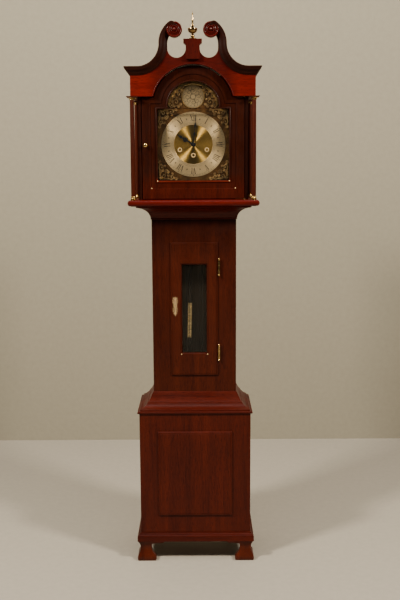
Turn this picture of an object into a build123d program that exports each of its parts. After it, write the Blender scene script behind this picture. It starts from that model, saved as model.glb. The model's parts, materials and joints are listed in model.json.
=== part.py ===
from build123d import *
import math
import os

# Longcase clock with a break-arch hood. Millimetres, +Z up, front towards -Y, origin on the
# floor under the middle of the bounding box.

# ---- Driving dimensions: plan ----
depth = 275.0                 # rosettes to back board
trunk_half = 162.5            # half width of the trunk
base_step = 55.0              # base is this much wider than the trunk on each side, and in front
hood_step = 43.5              # hood carcass beyond the trunk, each side
frieze_step = 25.5            # frieze beyond the hood carcass, each side
cornice_out = 21.0            # cornice beyond the frieze
rosette_out = 25.0            # rosettes beyond the tympanum
shelf_inset = 16.0            # hood shelf's inner edge beyond the trunk
shelf_wide = 68.5             # width of the hood shelf moulding
board = 12.0                  # side and back boards
base_board = 14.0
frame_thick = 18.0            # front frames and doors
tympanum_thick = 15.0
slide_gap = 2.5               # hood shelf to trunk front

# ---- Driving dimensions: heights, from the floor up ----
foot_height = 81.0
base_height = 523.0
base_cove_height = 76.0
base_lip_height = 10.0
trunk_height = 754.0
rest_height = 51.5
shelf_height = 25.0
column_head = 34.0            # columns above the dial square
frieze_height = 75.0
cornice_height = 31.0
swan_radius = 80.0            # hollow of the swan neck's lower curve
plinth_rise = 17.0            # plinth top above the swan neck's curve centres
finial_height = 98.0

# ---- Base ----
skirt_height = 35.0
skirt_out = 14.0
foot_toe_out = 14.5
foot_leg = 22.0               # thickness of a bracket foot
base_lip_out = 7.5
panel_half = 146.0            # raised panel on the base
panel_margin_bottom = 106.0   # panel edge above the base's bottom edge
panel_margin_top = 71.0
panel_lap = 14.0              # how far the panel laps its frame
panel_out = 8.0
floor_rise = 19.0             # base floor above the base's bottom edge
trunk_lap = 100.0             # trunk sides run this far down inside the base

# ---- Trunk door ----
door_half = 92.0
door_bottom_gap = 141.0       # base top to door
door_top_gap = 88.0           # door to hood rest
door_lap = 8.0                # lip over the frame
door_lip = 7.0                # lip thickness
door_clear = 2.0
face_gap = 0.3
window_half = 48.0
window_bottom = 91.0          # door bottom to window
window_height = 347.0
glass_rebate = 6.0
glass_thick = 3.0
glass_behind = 2.5            # trunk glass behind the trunk face
door_back_gap = 5.0           # trunk door's back in front of the frame's back
hinge_out = 4.0               # hinge axis beyond the door edge
hinge_forward = 8.5           # hinge axis in front of the trunk face
knuckle_r = 4.0
pin_r = 1.6
run_clear = 0.05              # shaft in a hole, on the radius
hinge_length = 52.0
hinge_heights = (92.0, 428.5) # hinge centres above the door's bottom
leaf_thick = 1.2
plate_x = -74.5               # escutcheon and lock
keyhole_rise = 279.0          # above the door's bottom

# ---- Hood door ----
hood_door_gap = 3.0
hood_door_y = 15.0            # door face behind the frieze face
glass_inside = 6.0            # door opening inside the dial's edge
bead_to_glass = 26.0          # moulded line to the glass opening
bead_drop = 3.0
bottom_rail = 69.0
arch_rail = 53.0
pivot_in = 5.0                # pivot in front of the door face
pivot_pin_r = 2.0
knob_r = 8.5
knob_z = 199.0                # above the door's bottom

# ---- Dial ----
dial_half = 140.0
dial_rise = 65.5              # dial's bottom above the hood shelf
dial_y = 35.0                 # dial face behind the hood door face
dial_thick = 2.0
arch_r = 102.0                # dial arch
arch_drop = 6.0             # its centre below the dial square's top
mask_lap = 4.0                # mask over the dial's edge
mask_thick = 6.0
mask_gap = 6.5                # mask in front of the dial face
centre_hole_r = 8.0
dial_foot_r = 4.0
shoulder_r = 152.0            # arch opening in the tympanum
shoulder_drop = 38.0          # its centre below the frieze's bottom
ring_margin = 19.0            # dial edge to chapter ring
ring_inner = 73.0
ring_thick = 1.5
boss_r = 41.0
boss_thick = 2.5
boss_rise = 176.0             # above the dial centre
winding_x = 51.0
winding_drop = 20.0
winding_centre_drop = 40.5
winding_hole_r = 5.0
collet_r = 8.5
minute_short = 9.0            # hand short of the ring's edge
hour_length = 78.0
hand_thick = 1.2
hour_hand_gap = 2.2           # chapter ring's face to the hour hand's front
minute_hand_gap = 1.4         # hour hand to minute hand
minute_angle = 6.0            # clockwise from twelve
hour_angle = 300.5

# ---- Movement ----
plate_half = 85.0
plate_height = 200.0
plate_thick = 3.0
plate_space = 60.0
dial_space = 28.5             # dial back to front plate
seat_thick = 20.0
seat_under_dial = 105.0       # seat board top below the dial centre, less the plates' foot
arbor_r = 1.5
barrel_arbor_r = 2.5
barrel_r = 19.2
barrel_length = 36.0
cable_r = 0.8
escape_r = 17.0
escape_teeth = 30
escape_rise = 57.0            # above the dial centre
escape_behind = 14.0          # wheel and pallets behind the front plate
anchor_rise = 95.0            # pendulum and anchor axis above the dial centre
pallet_clear = 2.0
wheel_module = 0.6
wheel_teeth = 40
pinion_teeth = 8
hour_teeth = 96

# ---- Pendulum and weights ----
pendulum_length = 994.0
pendulum_behind = 24.0        # rod centre behind the back plate
rod_wide = 14.0
rod_thick = 6.0
sleeve_wide = 16.0
sleeve_top = 1016.0           # height of the coupling sleeve's top
sleeve_length = 142.0
pendulum_angle = 1.45         # the pendulum is caught this far into its swing to the left, degrees
bob_r = 60.0
bob_thick = 24.0
tail_r = 2.5                  # threaded tail that carries the rating nut
tail_length = 84.0
nut_r = 9.0
nut_high = 10.0
weight_r = 23.0
weight_length = 200.0
weight_floor_gap = 38.0       # run-down weight above the base floor
pulley_drop = 50.0            # pulley centre above the weight
pulley_flange = 2.5
pulley_wide = 8.0

# ---- Levels and planes that follow ----
back_y = depth / 2
frieze_front = -depth / 2 + rosette_out
base_front = frieze_front
trunk_front = base_front + base_step
base_half = trunk_half + base_step
hood_half = trunk_half + hood_step
frieze_half = hood_half + frieze_step
back_inner = back_y - board

base_top = foot_height + base_height
rest_bottom = base_top + trunk_height
hood_bottom = rest_bottom + rest_height
shelf_top = hood_bottom + shelf_height
column_height = dial_rise + 2 * dial_half + column_head
frieze_bottom = shelf_top + column_height
cornice_bottom = frieze_bottom + frieze_height
cornice_top = cornice_bottom + cornice_height
swan_z = cornice_top + swan_radius
plinth_top = swan_z + plinth_rise
total_height = plinth_top + finial_height

door_bottom = base_top + door_bottom_gap
door_top = rest_bottom - door_top_gap
window_z = door_bottom + window_bottom

hood_face = frieze_front + hood_door_y
hood_back = hood_face + frame_thick
hood_inner = hood_half - board
hood_door_half = hood_inner - hood_door_gap
stile = hood_door_half - dial_half + glass_inside
bead_in = stile - bead_to_glass
hood_door_bottom = shelf_top + hood_door_gap
arch_z = frieze_bottom - shoulder_drop

ring_outer = dial_half - ring_margin
minute_length = ring_outer - minute_short
dial_face = hood_face + dial_y
dial_back = dial_face + dial_thick
dial_bottom = shelf_top + dial_rise
dial_z = dial_bottom + dial_half
arch_centre = dial_z + dial_half - arch_drop
front_plate_y = dial_back + dial_space
back_plate_y = front_plate_y + 2 * plate_thick + plate_space
seat_top = dial_z - seat_under_dial + seat_thick
seat_bottom = seat_top - seat_thick
barrels = {"left": (-winding_x, dial_z - winding_drop),
           "centre": (0.0, dial_z - winding_centre_drop),
           "right": (winding_x, dial_z - winding_drop)}
barrel_front = front_plate_y + plate_thick + (plate_space - barrel_length) / 2
cable_y = barrel_front + barrel_length / 2
pivot_z = dial_z + anchor_rise
pendulum_y = back_plate_y + pendulum_behind
weight_bottom = foot_height + floor_rise + board + weight_floor_gap
pulley_z = weight_bottom + weight_length + pulley_drop
cable_at = barrel_r + cable_r


# ---- Helpers ----
def block(x0, x1, y0, y1, z0, z1):
    """Box between two corners."""
    return Pos((x0 + x1) / 2, (y0 + y1) / 2, (z0 + z1) / 2) * Box(x1 - x0, y1 - y0, z1 - z0)


def rect(x0, x1, z0, z1):
    """Upright rectangle of an elevation."""
    return Pos((x0 + x1) / 2, (z0 + z1) / 2) * Rectangle(x1 - x0, z1 - z0)


def slab(sketch, y_back, thickness):
    """Elevation drawn as (x, z), extruded forwards from its back face."""
    return extrude(Plane.XZ.offset(-y_back) * sketch, amount=thickness)


def rod(x, z, r, y_front, y_back):
    """Round bar that runs from front to back."""
    return slab(Pos(x, z) * Circle(r), y_back, y_back - y_front)


def outline(points):
    """Closed straight-sided face."""
    return make_face(Polyline(*points, close=True))


def both(solid):
    """A right-hand piece and its mirror image."""
    return [mirror(solid, Plane.YZ), solid]


def turned(points, x, y):
    """Solid of revolution about an upright axis; points are (radius, height)."""
    profile = make_face(Polyline(*points, close=True))
    return Pos(x, y, 0) * revolve(Plane.XZ * profile, Axis.Z)


def wedge(corners):
    """Tall prism over a plan outline, used to cut mitres."""
    return extrude(make_face(Polyline(*corners, close=True)), amount=total_height)


def side_wedge(half, front, reach):
    return wedge([(half, front), (half + reach, front - reach), (half + reach, back_y), (half, back_y)])


def front_wedge(half, front, reach):
    return wedge([(-half, front), (-half - reach, front - reach), (half + reach, front - reach), (half, front)])


def moulding(profile, half, front, reach):
    """Left, front and right lengths of one profile, mitred at the front corners."""
    side = slab(Pos(half, 0) * profile, back_y, back_y - front + reach) & side_wedge(half, front, reach)
    plane = Plane(origin=(half + reach, front, 0), x_dir=(0, -1, 0), z_dir=(-1, 0, 0))
    face = extrude(plane * profile, amount=2 * (half + reach)) & front_wedge(half, front, reach)
    return both(side) + [face]


def gear(teeth, module, x, z, y_back, width, bore, turn=0.0):
    """Spur wheel with tapered teeth; a tooth points along +X when turn is 0."""
    tip, root = module * (teeth / 2 + 0.9), module * (teeth / 2 - 1.2)
    pitch = 360 / teeth
    points = []
    for tooth in range(teeth):
        for radius, share in ((root, -0.32), (tip, -0.12), (tip, 0.12), (root, 0.32)):
            angle = math.radians(turn + (tooth + share) * pitch)
            points.append((radius * math.cos(angle), radius * math.sin(angle)))
    return slab(Pos(x, z) * (outline(points) - Circle(bore)), y_back, width)


# ---- Base ----
foot_curve = [(11.5, foot_height), (2.5, 57.0), (9.0, 30.0), (foot_toe_out, 12.0)]
bracket = [(95.0, foot_height), (86.0, 72.5), (48.0, 70.0), (40.5, 62.0), (40.5, 46.0), (48.0, 32.0),
           (59.0, 20.0), (60.5, 10.0), (57.5, 0.0)]
bracket_reach = bracket[0][0]


def foot_profile():
    """Ogee section of a foot as (outward, z)."""
    curve = Spline(*foot_curve)
    rest = Polyline(foot_curve[-1], (foot_toe_out, 0), (-bracket_reach, 0), (-bracket_reach, foot_height),
                    foot_curve[0])
    return make_face(curve + rest)


def foot_outline():
    """Bracket shape as (distance in from the base face, z)."""
    return outline(bracket + [(-foot_toe_out, 0.0), (-foot_toe_out, foot_height)])


def front_foot():
    side = slab(Pos(base_half, 0) * foot_profile(), base_front + bracket_reach, bracket_reach + foot_toe_out)
    plane = Plane(origin=(base_half + foot_toe_out, base_front, 0), x_dir=(0, -1, 0), z_dir=(-1, 0, 0))
    face = extrude(plane * foot_profile(), amount=bracket_reach + foot_toe_out)
    corner = side & face
    front_shape = slab(mirror(foot_outline(), Plane.YZ).moved(Pos(base_half, 0)), base_front + foot_leg,
                       foot_leg + foot_toe_out)
    side_plane = Plane(origin=(base_half - foot_leg, base_front, 0), x_dir=(0, 1, 0), z_dir=(1, 0, 0))
    side_shape = extrude(side_plane * foot_outline(), amount=foot_leg + foot_toe_out)
    return (corner & front_shape) + (corner & side_shape)


def rear_foot():
    side = slab(Pos(base_half, 0) * foot_profile(), back_y, bracket_reach)
    plane = Plane(origin=(base_half + foot_toe_out, back_y, 0), x_dir=(0, -1, 0), z_dir=(-1, 0, 0))
    shape = extrude(plane * outline(bracket + [(0.0, 0.0), (0.0, foot_height)]), amount=foot_leg + foot_toe_out)
    brace = block(base_half - bracket[-1][0], base_half - foot_leg, back_y - foot_leg, back_y, 0, foot_height)
    return (side & shape) + brace


def bracket_feet():
    return both(front_foot()) + both(rear_foot())


def case_mouldings():
    """Skirt, cove over the base and cove under the hood, three mitred lengths each."""
    skirt = outline([(0, foot_height), (skirt_out, foot_height), (skirt_out, foot_height + 22),
                     (skirt_out - 3, foot_height + 26), (skirt_out - 6, foot_height + 30),
                     (4, foot_height + skirt_height), (0, foot_height + skirt_height)])
    lip = base_top + base_lip_height
    out = base_step + base_lip_out
    top = base_top + base_cove_height
    cove = Line((0, base_top), (out, base_top)) + Line((out, base_top), (out, lip))
    cove += Line((out, lip), (out - 12, lip + 6))
    cove += ThreePointArc((out - 12, lip + 6), (21, lip + 38), (2, top)) + Line((2, top), (0, top))
    cove += Line((0, top), (0, base_top))
    rest = Line((0, rest_bottom), (3, rest_bottom))
    rest += ThreePointArc((3, rest_bottom), (24, rest_bottom + 27), (base_step, hood_bottom - 5))
    rest += Line((base_step, hood_bottom - 5), (base_step, hood_bottom))
    rest += Line((base_step, hood_bottom), (0, hood_bottom)) + Line((0, hood_bottom), (0, rest_bottom))
    return (moulding(skirt, base_half, base_front, skirt_out)
            + moulding(make_face(cove), trunk_half, trunk_front, out)
            + moulding(make_face(rest), trunk_half, trunk_front, base_step))


def base_sides():
    inner = base_half - base_board
    return both(block(inner, base_half, base_front + frame_thick, back_inner, foot_height, base_top))


def base_opening(lap):
    low, high = foot_height + panel_margin_bottom + lap, base_top - panel_margin_top - lap
    return rect(-panel_half + lap, panel_half - lap, low, high)


def base_front_frame():
    face = rect(-base_half, base_half, foot_height, base_top) - base_opening(panel_lap)
    return [slab(face, base_front + frame_thick, frame_thick)]


def base_front_panel():
    lip = slab(base_opening(0), base_front, panel_out)
    edge = lip.faces().sort_by(Axis.Y)[0].edges()
    tongue = slab(base_opening(panel_lap), base_front + frame_thick, frame_thick)
    return [chamfer(edge, panel_out * 0.6) + tongue]


def base_floor_and_blocks():
    low = foot_height + floor_rise
    inner = base_half - base_board
    floor = block(-inner, inner, base_front + frame_thick, back_inner, low, low + board)
    filler = block(trunk_half, inner, trunk_front + frame_thick, back_inner, base_top - trunk_lap, base_top)
    return [floor] + both(filler)


def back_board():
    face = rect(-base_half, base_half, foot_height, base_top)
    face += rect(-trunk_half, trunk_half, base_top, cornice_bottom - 2 * board)
    wide = hood_inner - hood_door_gap
    face += rect(-wide, wide, shelf_top + hood_door_gap, cornice_bottom - 2 * board)
    return [slab(face, back_y, board)]


# ---- Trunk ----
def trunk_front_frame():
    hole = rect(-door_half + door_lap, door_half - door_lap, door_bottom + door_lap, door_top - door_lap)
    face = rect(-trunk_half, trunk_half, base_top - trunk_lap, hood_bottom) - hole
    solid = slab(face, trunk_front + frame_thick, frame_thick)
    for low in hinge_lows:
        solid -= fixed_leaf(low)
    return [solid]


def trunk_sides():
    return both(block(trunk_half - board, trunk_half, trunk_front + frame_thick, back_inner,
                      base_top - trunk_lap, seat_bottom))


hinge_x = door_half + hinge_out
hinge_y = trunk_front - hinge_forward
hinge_lows = [door_bottom + height - hinge_length / 2 for height in hinge_heights]


def knuckle(z0, z1, r):
    return Pos(hinge_x, hinge_y, (z0 + z1) / 2) * Cylinder(r, z1 - z0)


def fixed_leaf(low):
    """Leaf let in flush with the trunk's front, behind the door's lip."""
    return block(hinge_x - 8, hinge_x + 1, trunk_front, trunk_front + leaf_thick, low, low + hinge_length)


def hinge_parts():
    """Fixed leaves with pins, and door leaves, of the two trunk door hinges."""
    fixed, moving = [], []
    third = hinge_length / 3
    for low in hinge_lows:
        mid0, mid1, high = low + third, low + 2 * third, low + hinge_length
        web = block(hinge_x - 1, hinge_x + 1, hinge_y, trunk_front, mid0, mid1)
        pin = knuckle(low - 2, high + 2, pin_r)
        tips = [Pos(hinge_x, hinge_y, z) * Sphere(knuckle_r * 0.95) for z in (low - 4.5, high + 4.5)]
        fixed.append(knuckle(mid0, mid1, knuckle_r) + web + fixed_leaf(low) + pin + tips[0] + tips[1])
        plate = block(door_half, door_half + leaf_thick, hinge_y + 1, trunk_front - face_gap, low, high)
        barrel = knuckle(low, mid0 - face_gap, knuckle_r) + knuckle(mid1 + face_gap, high, knuckle_r)
        moving.append((barrel + plate) - knuckle(low, high, pin_r + run_clear) -
                      knuckle(mid0 - face_gap, mid1 + face_gap, knuckle_r + face_gap))
    return fixed, moving


def trunk_door_frame():
    lip = slab(rect(-door_half, door_half, door_bottom, door_top), trunk_front - face_gap, door_lip)
    lip = chamfer(lip.faces().sort_by(Axis.Y)[0].edges(), door_lip * 0.55)
    inner = door_half - door_lap - door_clear
    body = rect(-inner, inner, door_bottom + door_lap + door_clear, door_top - door_lap - door_clear)
    window = rect(-window_half, window_half, window_z, window_z + window_height)
    solid = lip + slab(body, lock_back, lock_back - trunk_front + face_gap)
    rebate = slab(door_glass_face(), trunk_front + frame_thick, frame_thick - glass_behind)
    return [solid - slab(window, back_y, depth) - rebate - keyhole()]


def keyhole():
    """Keyhole right through the door and its plate."""
    z = door_bottom + keyhole_rise
    hole = Pos(plate_x, z) * Circle(3) + rect(plate_x - 1.3, plate_x + 1.3, z - 11, z)
    return slab(hole, trunk_front + frame_thick, depth / 4)


def door_glass_face():
    return rect(-window_half - glass_rebate, window_half + glass_rebate, window_z - glass_rebate,
                window_z + window_height + glass_rebate)


def trunk_door_glass():
    return [slab(door_glass_face(), trunk_front + glass_behind + glass_thick, glass_thick)]


def trunk_escutcheon():
    z = door_bottom + keyhole_rise
    face = Pos(plate_x, z) * Circle(11.5)
    face += outline([(plate_x - 9, z), (plate_x + 9, z), (plate_x + 4, z + 22), (plate_x + 7, z + 27),
                     (plate_x, z + 36), (plate_x - 7, z + 27), (plate_x - 4, z + 22)])
    face += outline([(plate_x - 9, z), (plate_x + 9, z), (plate_x + 5, z - 24), (plate_x + 7.5, z - 29),
                     (plate_x, z - 42), (plate_x - 7.5, z - 29), (plate_x - 5, z - 24)])
    return [slab(face, trunk_front - face_gap - door_lip, 1.4) - keyhole()]


lock_left = -(door_half - door_lap - door_clear) + 1
lock_back = trunk_front + frame_thick - door_back_gap
bolt_y = lock_back + 5.5
bolt_wide, bolt_high = 4.0, 14.0


def trunk_door_lock():
    z = door_bottom + keyhole_rise
    case = block(lock_left, lock_left + 20, lock_back, lock_back + 11, z - 22, z + 22)
    slot = block(lock_left, lock_left + 18, bolt_y, bolt_y + bolt_wide, z - bolt_high / 2, z + bolt_high / 2)
    return [case - offset(slot, amount=run_clear * 4, kind=Kind.INTERSECTION)]


def trunk_lock_bolt():
    z = door_bottom + keyhole_rise
    return [block(lock_left, lock_left + 10, bolt_y, bolt_y + bolt_wide, z - bolt_high / 2, z + bolt_high / 2)]


# ---- Hood ----
shelf_half = trunk_half + shelf_inset
shelf_front = trunk_front - slide_gap
pivot_x = hood_door_half + hood_door_gap / 2
pivot_y = hood_face - pivot_in
column_x = frieze_half - 5.5
column_front_y = frieze_front + 5.5
column_rear_y = back_y - 22.5
column_r = 8.75
column_places = [(side * column_x, y) for side in (-1, 1) for y in (column_front_y, column_rear_y)]
capital_height = 13.0
capital_half = 20.0
abacus_height = 5.0


def pivot_hole(z0, z1):
    return Pos(pivot_x, pivot_y, (z0 + z1) / 2) * Cylinder(pivot_pin_r + run_clear, z1 - z0)


def hood_base_moulding():
    top, half_step = shelf_top, shelf_height / 2
    face = Line((0, hood_bottom), (shelf_wide - 9, hood_bottom))
    face += ThreePointArc((shelf_wide - 9, hood_bottom), (shelf_wide, hood_bottom + half_step),
                          (shelf_wide - 9, top))
    face += Line((shelf_wide - 9, top), (0, top)) + Line((0, top), (0, hood_bottom))
    pieces = moulding(make_face(face), shelf_half, shelf_front, shelf_wide)
    pieces[2] = pieces[2] - pivot_hole(shelf_top - 10, shelf_top)
    return pieces


def hood_sides():
    return both(block(hood_inner, hood_half, hood_face, back_y, shelf_top, cornice_bottom))


def arch_face(r, z):
    """Disc of the break arch above its springing line."""
    return Pos(0, z) * Circle(r)


swan_wide = cornice_height
swan_in = frieze_half - 27.5             # x of the lower curve's centre
swan_upper_r = swan_radius + 13.4        # outer radius of the upper curve
swan_upper_x = swan_in - swan_radius - swan_upper_r
rosette_r = 28.5
rosette_x = swan_upper_x + 35.9
rosette_z = swan_z + 49.0
neck_end_r = 16.0                        # rounded end of the neck behind the rosette
plinth_half = 25.5
plinth_cap_half = 34.0
hollow_r = (swan_in - swan_radius - swan_wide - plinth_half) / 2
hollow_z = swan_z - 15.0


def towards_rosette(distance):
    """Point at a distance from the upper curve's centre, on the line through the rosette's centre."""
    reach = math.hypot(rosette_x - swan_upper_x, rosette_z - swan_z)
    return (swan_upper_x + distance * (rosette_x - swan_upper_x) / reach,
            swan_z + distance * (rosette_z - swan_z) / reach)


def upper_neck(inner, outer):
    """Upper curve of the neck between two distances from its top edge, with its rounded end."""
    centre, far = (swan_upper_x, swan_z), towards_rosette(2 * swan_upper_r)
    ring = Circle(swan_upper_r - inner) - Circle(swan_upper_r - outer)
    run = (Pos(*centre) * ring) & outline([centre, far, (swan_in, far[1]), (swan_in, swan_z)])
    if inner >= neck_end_r:
        return run
    end = Circle(neck_end_r - inner)
    if outer < neck_end_r:
        end -= Circle(neck_end_r - outer)
    end = Pos(*towards_rosette(swan_upper_r - neck_end_r)) * end
    return run + (end & outline([centre, far, (centre[0], far[1])]))


def tympanum_half():
    """Right half of the board behind the swan neck, with the hollow beside the plinth."""
    mid = swan_radius + swan_wide / 2
    face = rect(0, frieze_half, frieze_bottom, cornice_bottom + cornice_height / 2)
    upper = rect(0, swan_in, cornice_bottom, swan_z) - Pos(swan_in, swan_z) * Circle(mid)
    hollow = Pos(plinth_half + hollow_r, hollow_z) * Circle(hollow_r)
    hollow += rect(plinth_half, plinth_half + 2 * hollow_r, hollow_z, swan_z)
    upper -= hollow + rect(0, plinth_half, hollow_z, swan_z)
    ring = Circle(swan_upper_r - swan_wide / 2) - Circle(swan_upper_r - swan_wide)
    arm = (Pos(swan_upper_x, swan_z) * ring) & rect(rosette_x, swan_in, swan_z, rosette_z + rosette_r)
    return face + upper + arm + Pos(rosette_x, rosette_z) * Circle(rosette_r - 3)


def hood_tympanum():
    half = tympanum_half() - arch_face(shoulder_r, arch_z)
    face = half + mirror(half, Plane.YZ)
    solid = slab(face, frieze_front + tympanum_thick, tympanum_thick)
    return [solid - pivot_hole(frieze_bottom, frieze_bottom + 10)]


def hood_frieze_sides():
    return both(block(hood_half, frieze_half, hood_face, back_y, frieze_bottom, cornice_bottom))


def cornice_mouldings():
    """Swan necks with their level run, and the returns along the sides."""
    steps = ((0.0, 10.0, 21.0), (10.0, 21.0, 14.0), (21.0, 31.0, 7.0))
    neck = None
    profile = None
    for inner, outer, proud in steps:
        ring = Circle(swan_radius + outer) - Circle(swan_radius + inner)
        lower = (Pos(swan_in, swan_z) * ring) & rect(0, swan_in, cornice_bottom - 1, swan_z)
        upper = upper_neck(inner, outer)
        level = rect(swan_in, frieze_half + cornice_out, cornice_top - outer, cornice_top - inner)
        layer = slab(lower + upper + level, frieze_front, proud)
        neck = layer if neck is None else neck + layer
        strip = rect(0, proud, cornice_top - outer, cornice_top - inner)
        profile = strip if profile is None else profile + strip
    neck = neck & front_wedge(frieze_half, frieze_front, cornice_out)
    neck = neck - rod(rosette_x, rosette_z, rosette_r, -depth, frieze_front)
    back_return = slab(Pos(frieze_half, 0) * profile, back_y, depth)
    back_return = back_return & side_wedge(frieze_half, frieze_front, cornice_out)
    return both(neck) + both(back_return)


def hood_rosettes():
    face = [(0, 0), (rosette_r, 0), (rosette_r, 14), (21, 20), (16, 15), (11, 15), (8, rosette_out),
            (0, rosette_out)]
    plane = Plane(origin=(rosette_x, frieze_front, rosette_z), x_dir=(1, 0, 0), z_dir=(0, 0, 1))
    profile = plane * outline([(r, -out) for r, out in face])
    return both(revolve(profile, Axis((rosette_x, frieze_front, rosette_z), (0, 1, 0))))


def finial_plinth():
    low = hollow_z - hollow_r - 6
    cap = plinth_top - 14
    face = rect(-plinth_half, plinth_half, low, cap)
    cap_face = outline([(-plinth_half, cap - 7), (plinth_half, cap - 7), (plinth_cap_half, cap),
                        (plinth_cap_half, plinth_top), (-plinth_cap_half, plinth_top), (-plinth_cap_half, cap)])
    front = slab(face + cap_face, frieze_front, 12)
    head = slab((face + cap_face) & rect(-plinth_cap_half, plinth_cap_half, hollow_z, plinth_top),
                frieze_front + tympanum_thick, tympanum_thick)
    return [front + head]


def finial():
    h = plinth_top
    shape = [(0, h), (13, h), (13, h + 4), (7, h + 6), (9, h + 11), (6, h + 15), (11, h + 20), (17.5, h + 29),
             (18, h + 36), (12, h + 38), (7, h + 42), (8.5, h + 46), (5, h + 52), (4.5, h + 55),
             (1.2, total_height), (0, total_height)]
    return [turned(shape, 0, frieze_front + 1.5)]


def hood_columns():
    """Shafts, and the square abacus over each capital."""
    low, high = shelf_top + 13.5, frieze_bottom - capital_height
    shape = [(0, low), (column_r, low), (column_r, high), (0, high)]
    top = frieze_bottom
    abaci = [block(x - capital_half, x + capital_half, y - capital_half, y + capital_half,
                   top - abacus_height, top) for x, y in column_places]
    return [turned(shape, x, y) for x, y in column_places] + abaci


def column_brasses():
    """Turned base and capital of each column."""
    low, high = shelf_top, frieze_bottom
    foot = [(0, low), (11, low), (11, low + 5), (9, low + 7), (10, low + 10), (column_r, low + 13.5),
            (0, low + 13.5)]
    top = [(0, high - capital_height), (10, high - capital_height), (10, high - 10), (9, high - 8.5),
           (16, high - abacus_height), (0, high - abacus_height)]
    return [turned(shape, x, y) for x, y in column_places for shape in (foot, top)]


def hood_roof():
    """Flat wings and the arched centre that follows the break arch."""
    roof_z, skin = cornice_bottom, board / 2
    inside = shoulder_r + 3
    above = rect(-inside * 2, inside * 2, roof_z + skin - arch_z, inside * 2)
    ring = (Circle(inside + skin) - Circle(inside)) & above
    arch = Pos(0, arch_z) * ring
    wing_in = math.sqrt(inside ** 2 - (roof_z + skin - arch_z) ** 2)
    wing = rect(wing_in, hood_half, roof_z, roof_z + skin)
    return [slab(piece, back_y, back_y - hood_face) for piece in (arch, wing, mirror(wing, Plane.YZ))]


def dial_opening(margin):
    """Dial outline grown by a margin: square with an arch on top."""
    half = dial_half + margin
    return rect(-half, half, dial_bottom - margin, dial_z + half) + arch_face(arch_r + margin, arch_centre)


def dial_mask():
    outer = rect(-hood_inner, hood_inner, shelf_top, cornice_bottom)
    face = outer - dial_opening(-mask_lap)
    return [slab(face, dial_face - mask_gap, mask_thick)]


# ---- Hood door ----
def hood_door_face(inset):
    """Door outline, drawn in by an inset: square shoulders under a round arch."""
    half = hood_door_half - inset
    face = rect(-half, half, hood_door_bottom + inset * bottom_rail / stile,
                frieze_bottom - hood_door_gap - inset * (frieze_bottom - arch_centre) / stile)
    return face + (arch_face(shoulder_r - hood_door_gap - inset * arch_rail / stile,
                             arch_z - inset * (arch_z - arch_centre) / stile)
                   & rect(-half, half, arch_z - hood_door_gap, cornice_top + swan_radius))


def hood_door_frame():
    layer = frame_thick / 2
    opening = hood_door_face(stile)
    deep = hood_door_face(stile - glass_rebate)
    front = slab(hood_door_face(0) - hood_door_face(bead_in), hood_face + layer, layer)
    inner = slab(hood_door_face(bead_in) - opening, hood_face + layer, layer - bead_drop)
    rear = slab(hood_door_face(0) - deep, hood_back, layer)
    return [front + inner + rear]


def hood_door_glass():
    return [slab(hood_door_face(stile - glass_rebate), hood_face + frame_thick / 2 + glass_thick, glass_thick)]


def hood_door_knob():
    r = knob_r
    face = [(0, 0), (5, 0), (5, 1.5), (3, 3), (3, 7), (r * 0.8, 9), (r, 12.5), (r * 0.75, 16.5), (0, 18)]
    x, z = -(hood_door_half - 12.5), hood_door_bottom + knob_z
    plane = Plane(origin=(x, hood_face, z), x_dir=(1, 0, 0), z_dir=(0, 0, 1))
    return [revolve(plane * outline([(a, -b) for a, b in face]), Axis((x, hood_face, z), (0, 1, 0)))]


def hood_door_pivots():
    """Brass plates on the door's top and bottom edges, each with its pin."""
    plates = []
    door_top_edge = frieze_bottom - hood_door_gap
    for edge, step, reach in ((door_top_edge, 1.5, 9.0), (hood_door_bottom, -1.5, -9.0)):
        low, high = sorted((edge, edge + step))
        plate = block(pivot_x - 34, pivot_x + 1, hood_face + 4, hood_back - 3, low, high)
        arm = block(pivot_x - 5, pivot_x + 1, pivot_y, hood_face + 4, low, high)
        low, high = sorted((edge, edge + reach))
        pin = Pos(pivot_x, pivot_y, (low + high) / 2) * Cylinder(pivot_pin_r, high - low)
        plates.append(plate + arm + pin)
    return plates


# ---- Dial and hands ----
def winding_holes(r):
    holes = [Pos(x, z) * Circle(r) for x, z in barrels.values()]
    return holes[0] + holes[1] + holes[2]


def dial_plate():
    face = dial_opening(0) - winding_holes(winding_hole_r) - Pos(0, dial_z) * Circle(centre_hole_r)
    feet = [rod(x, z, dial_foot_r, dial_back, front_plate_y)
            for x in (-70, 70) for z in (seat_top + 30, dial_z + 75)]
    return [slab(face, dial_back, dial_thick)] + feet


def silvered_ring_and_boss():
    ring = Pos(0, dial_z) * (Circle(ring_outer) - Circle(ring_inner))
    boss = Pos(0, dial_z + boss_rise) * Circle(boss_r)
    return [slab(ring, dial_face, ring_thick), slab(boss, dial_face, boss_thick)]


def dial_brassware():
    """Corner spandrels, arch spandrels and the collets round the winding holes."""
    half, low = dial_half - 6, ring_outer + 3
    inner = half - 62
    corner = (rect(inner, half, dial_z + inner, dial_z + half) - Pos(0, dial_z) * Circle(low)
              - outline([(inner, dial_z + inner), (half, dial_z + inner), (half, dial_z + inner + 8),
                         (inner + 8, dial_z + half), (inner, dial_z + half)]).moved(Pos(-20, -20)))
    upper = slab(corner, dial_face, 2.5)
    lower = mirror(upper, Plane.XY.offset(dial_z))
    arch = (arch_face(arch_r - 7, arch_centre) - Pos(0, dial_z + boss_rise) * Circle(boss_r + 4)) & rect(
        boss_r * 0.75, arch_r, arch_centre + 8, arch_centre + arch_r)
    pieces = both(upper) + both(lower) + both(slab(arch, dial_face, 2.5))
    for x, z in barrels.values():
        pieces.append(slab(Pos(x, z) * (Circle(collet_r) - Circle(winding_hole_r)), dial_face, 2))
    return pieces


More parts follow.
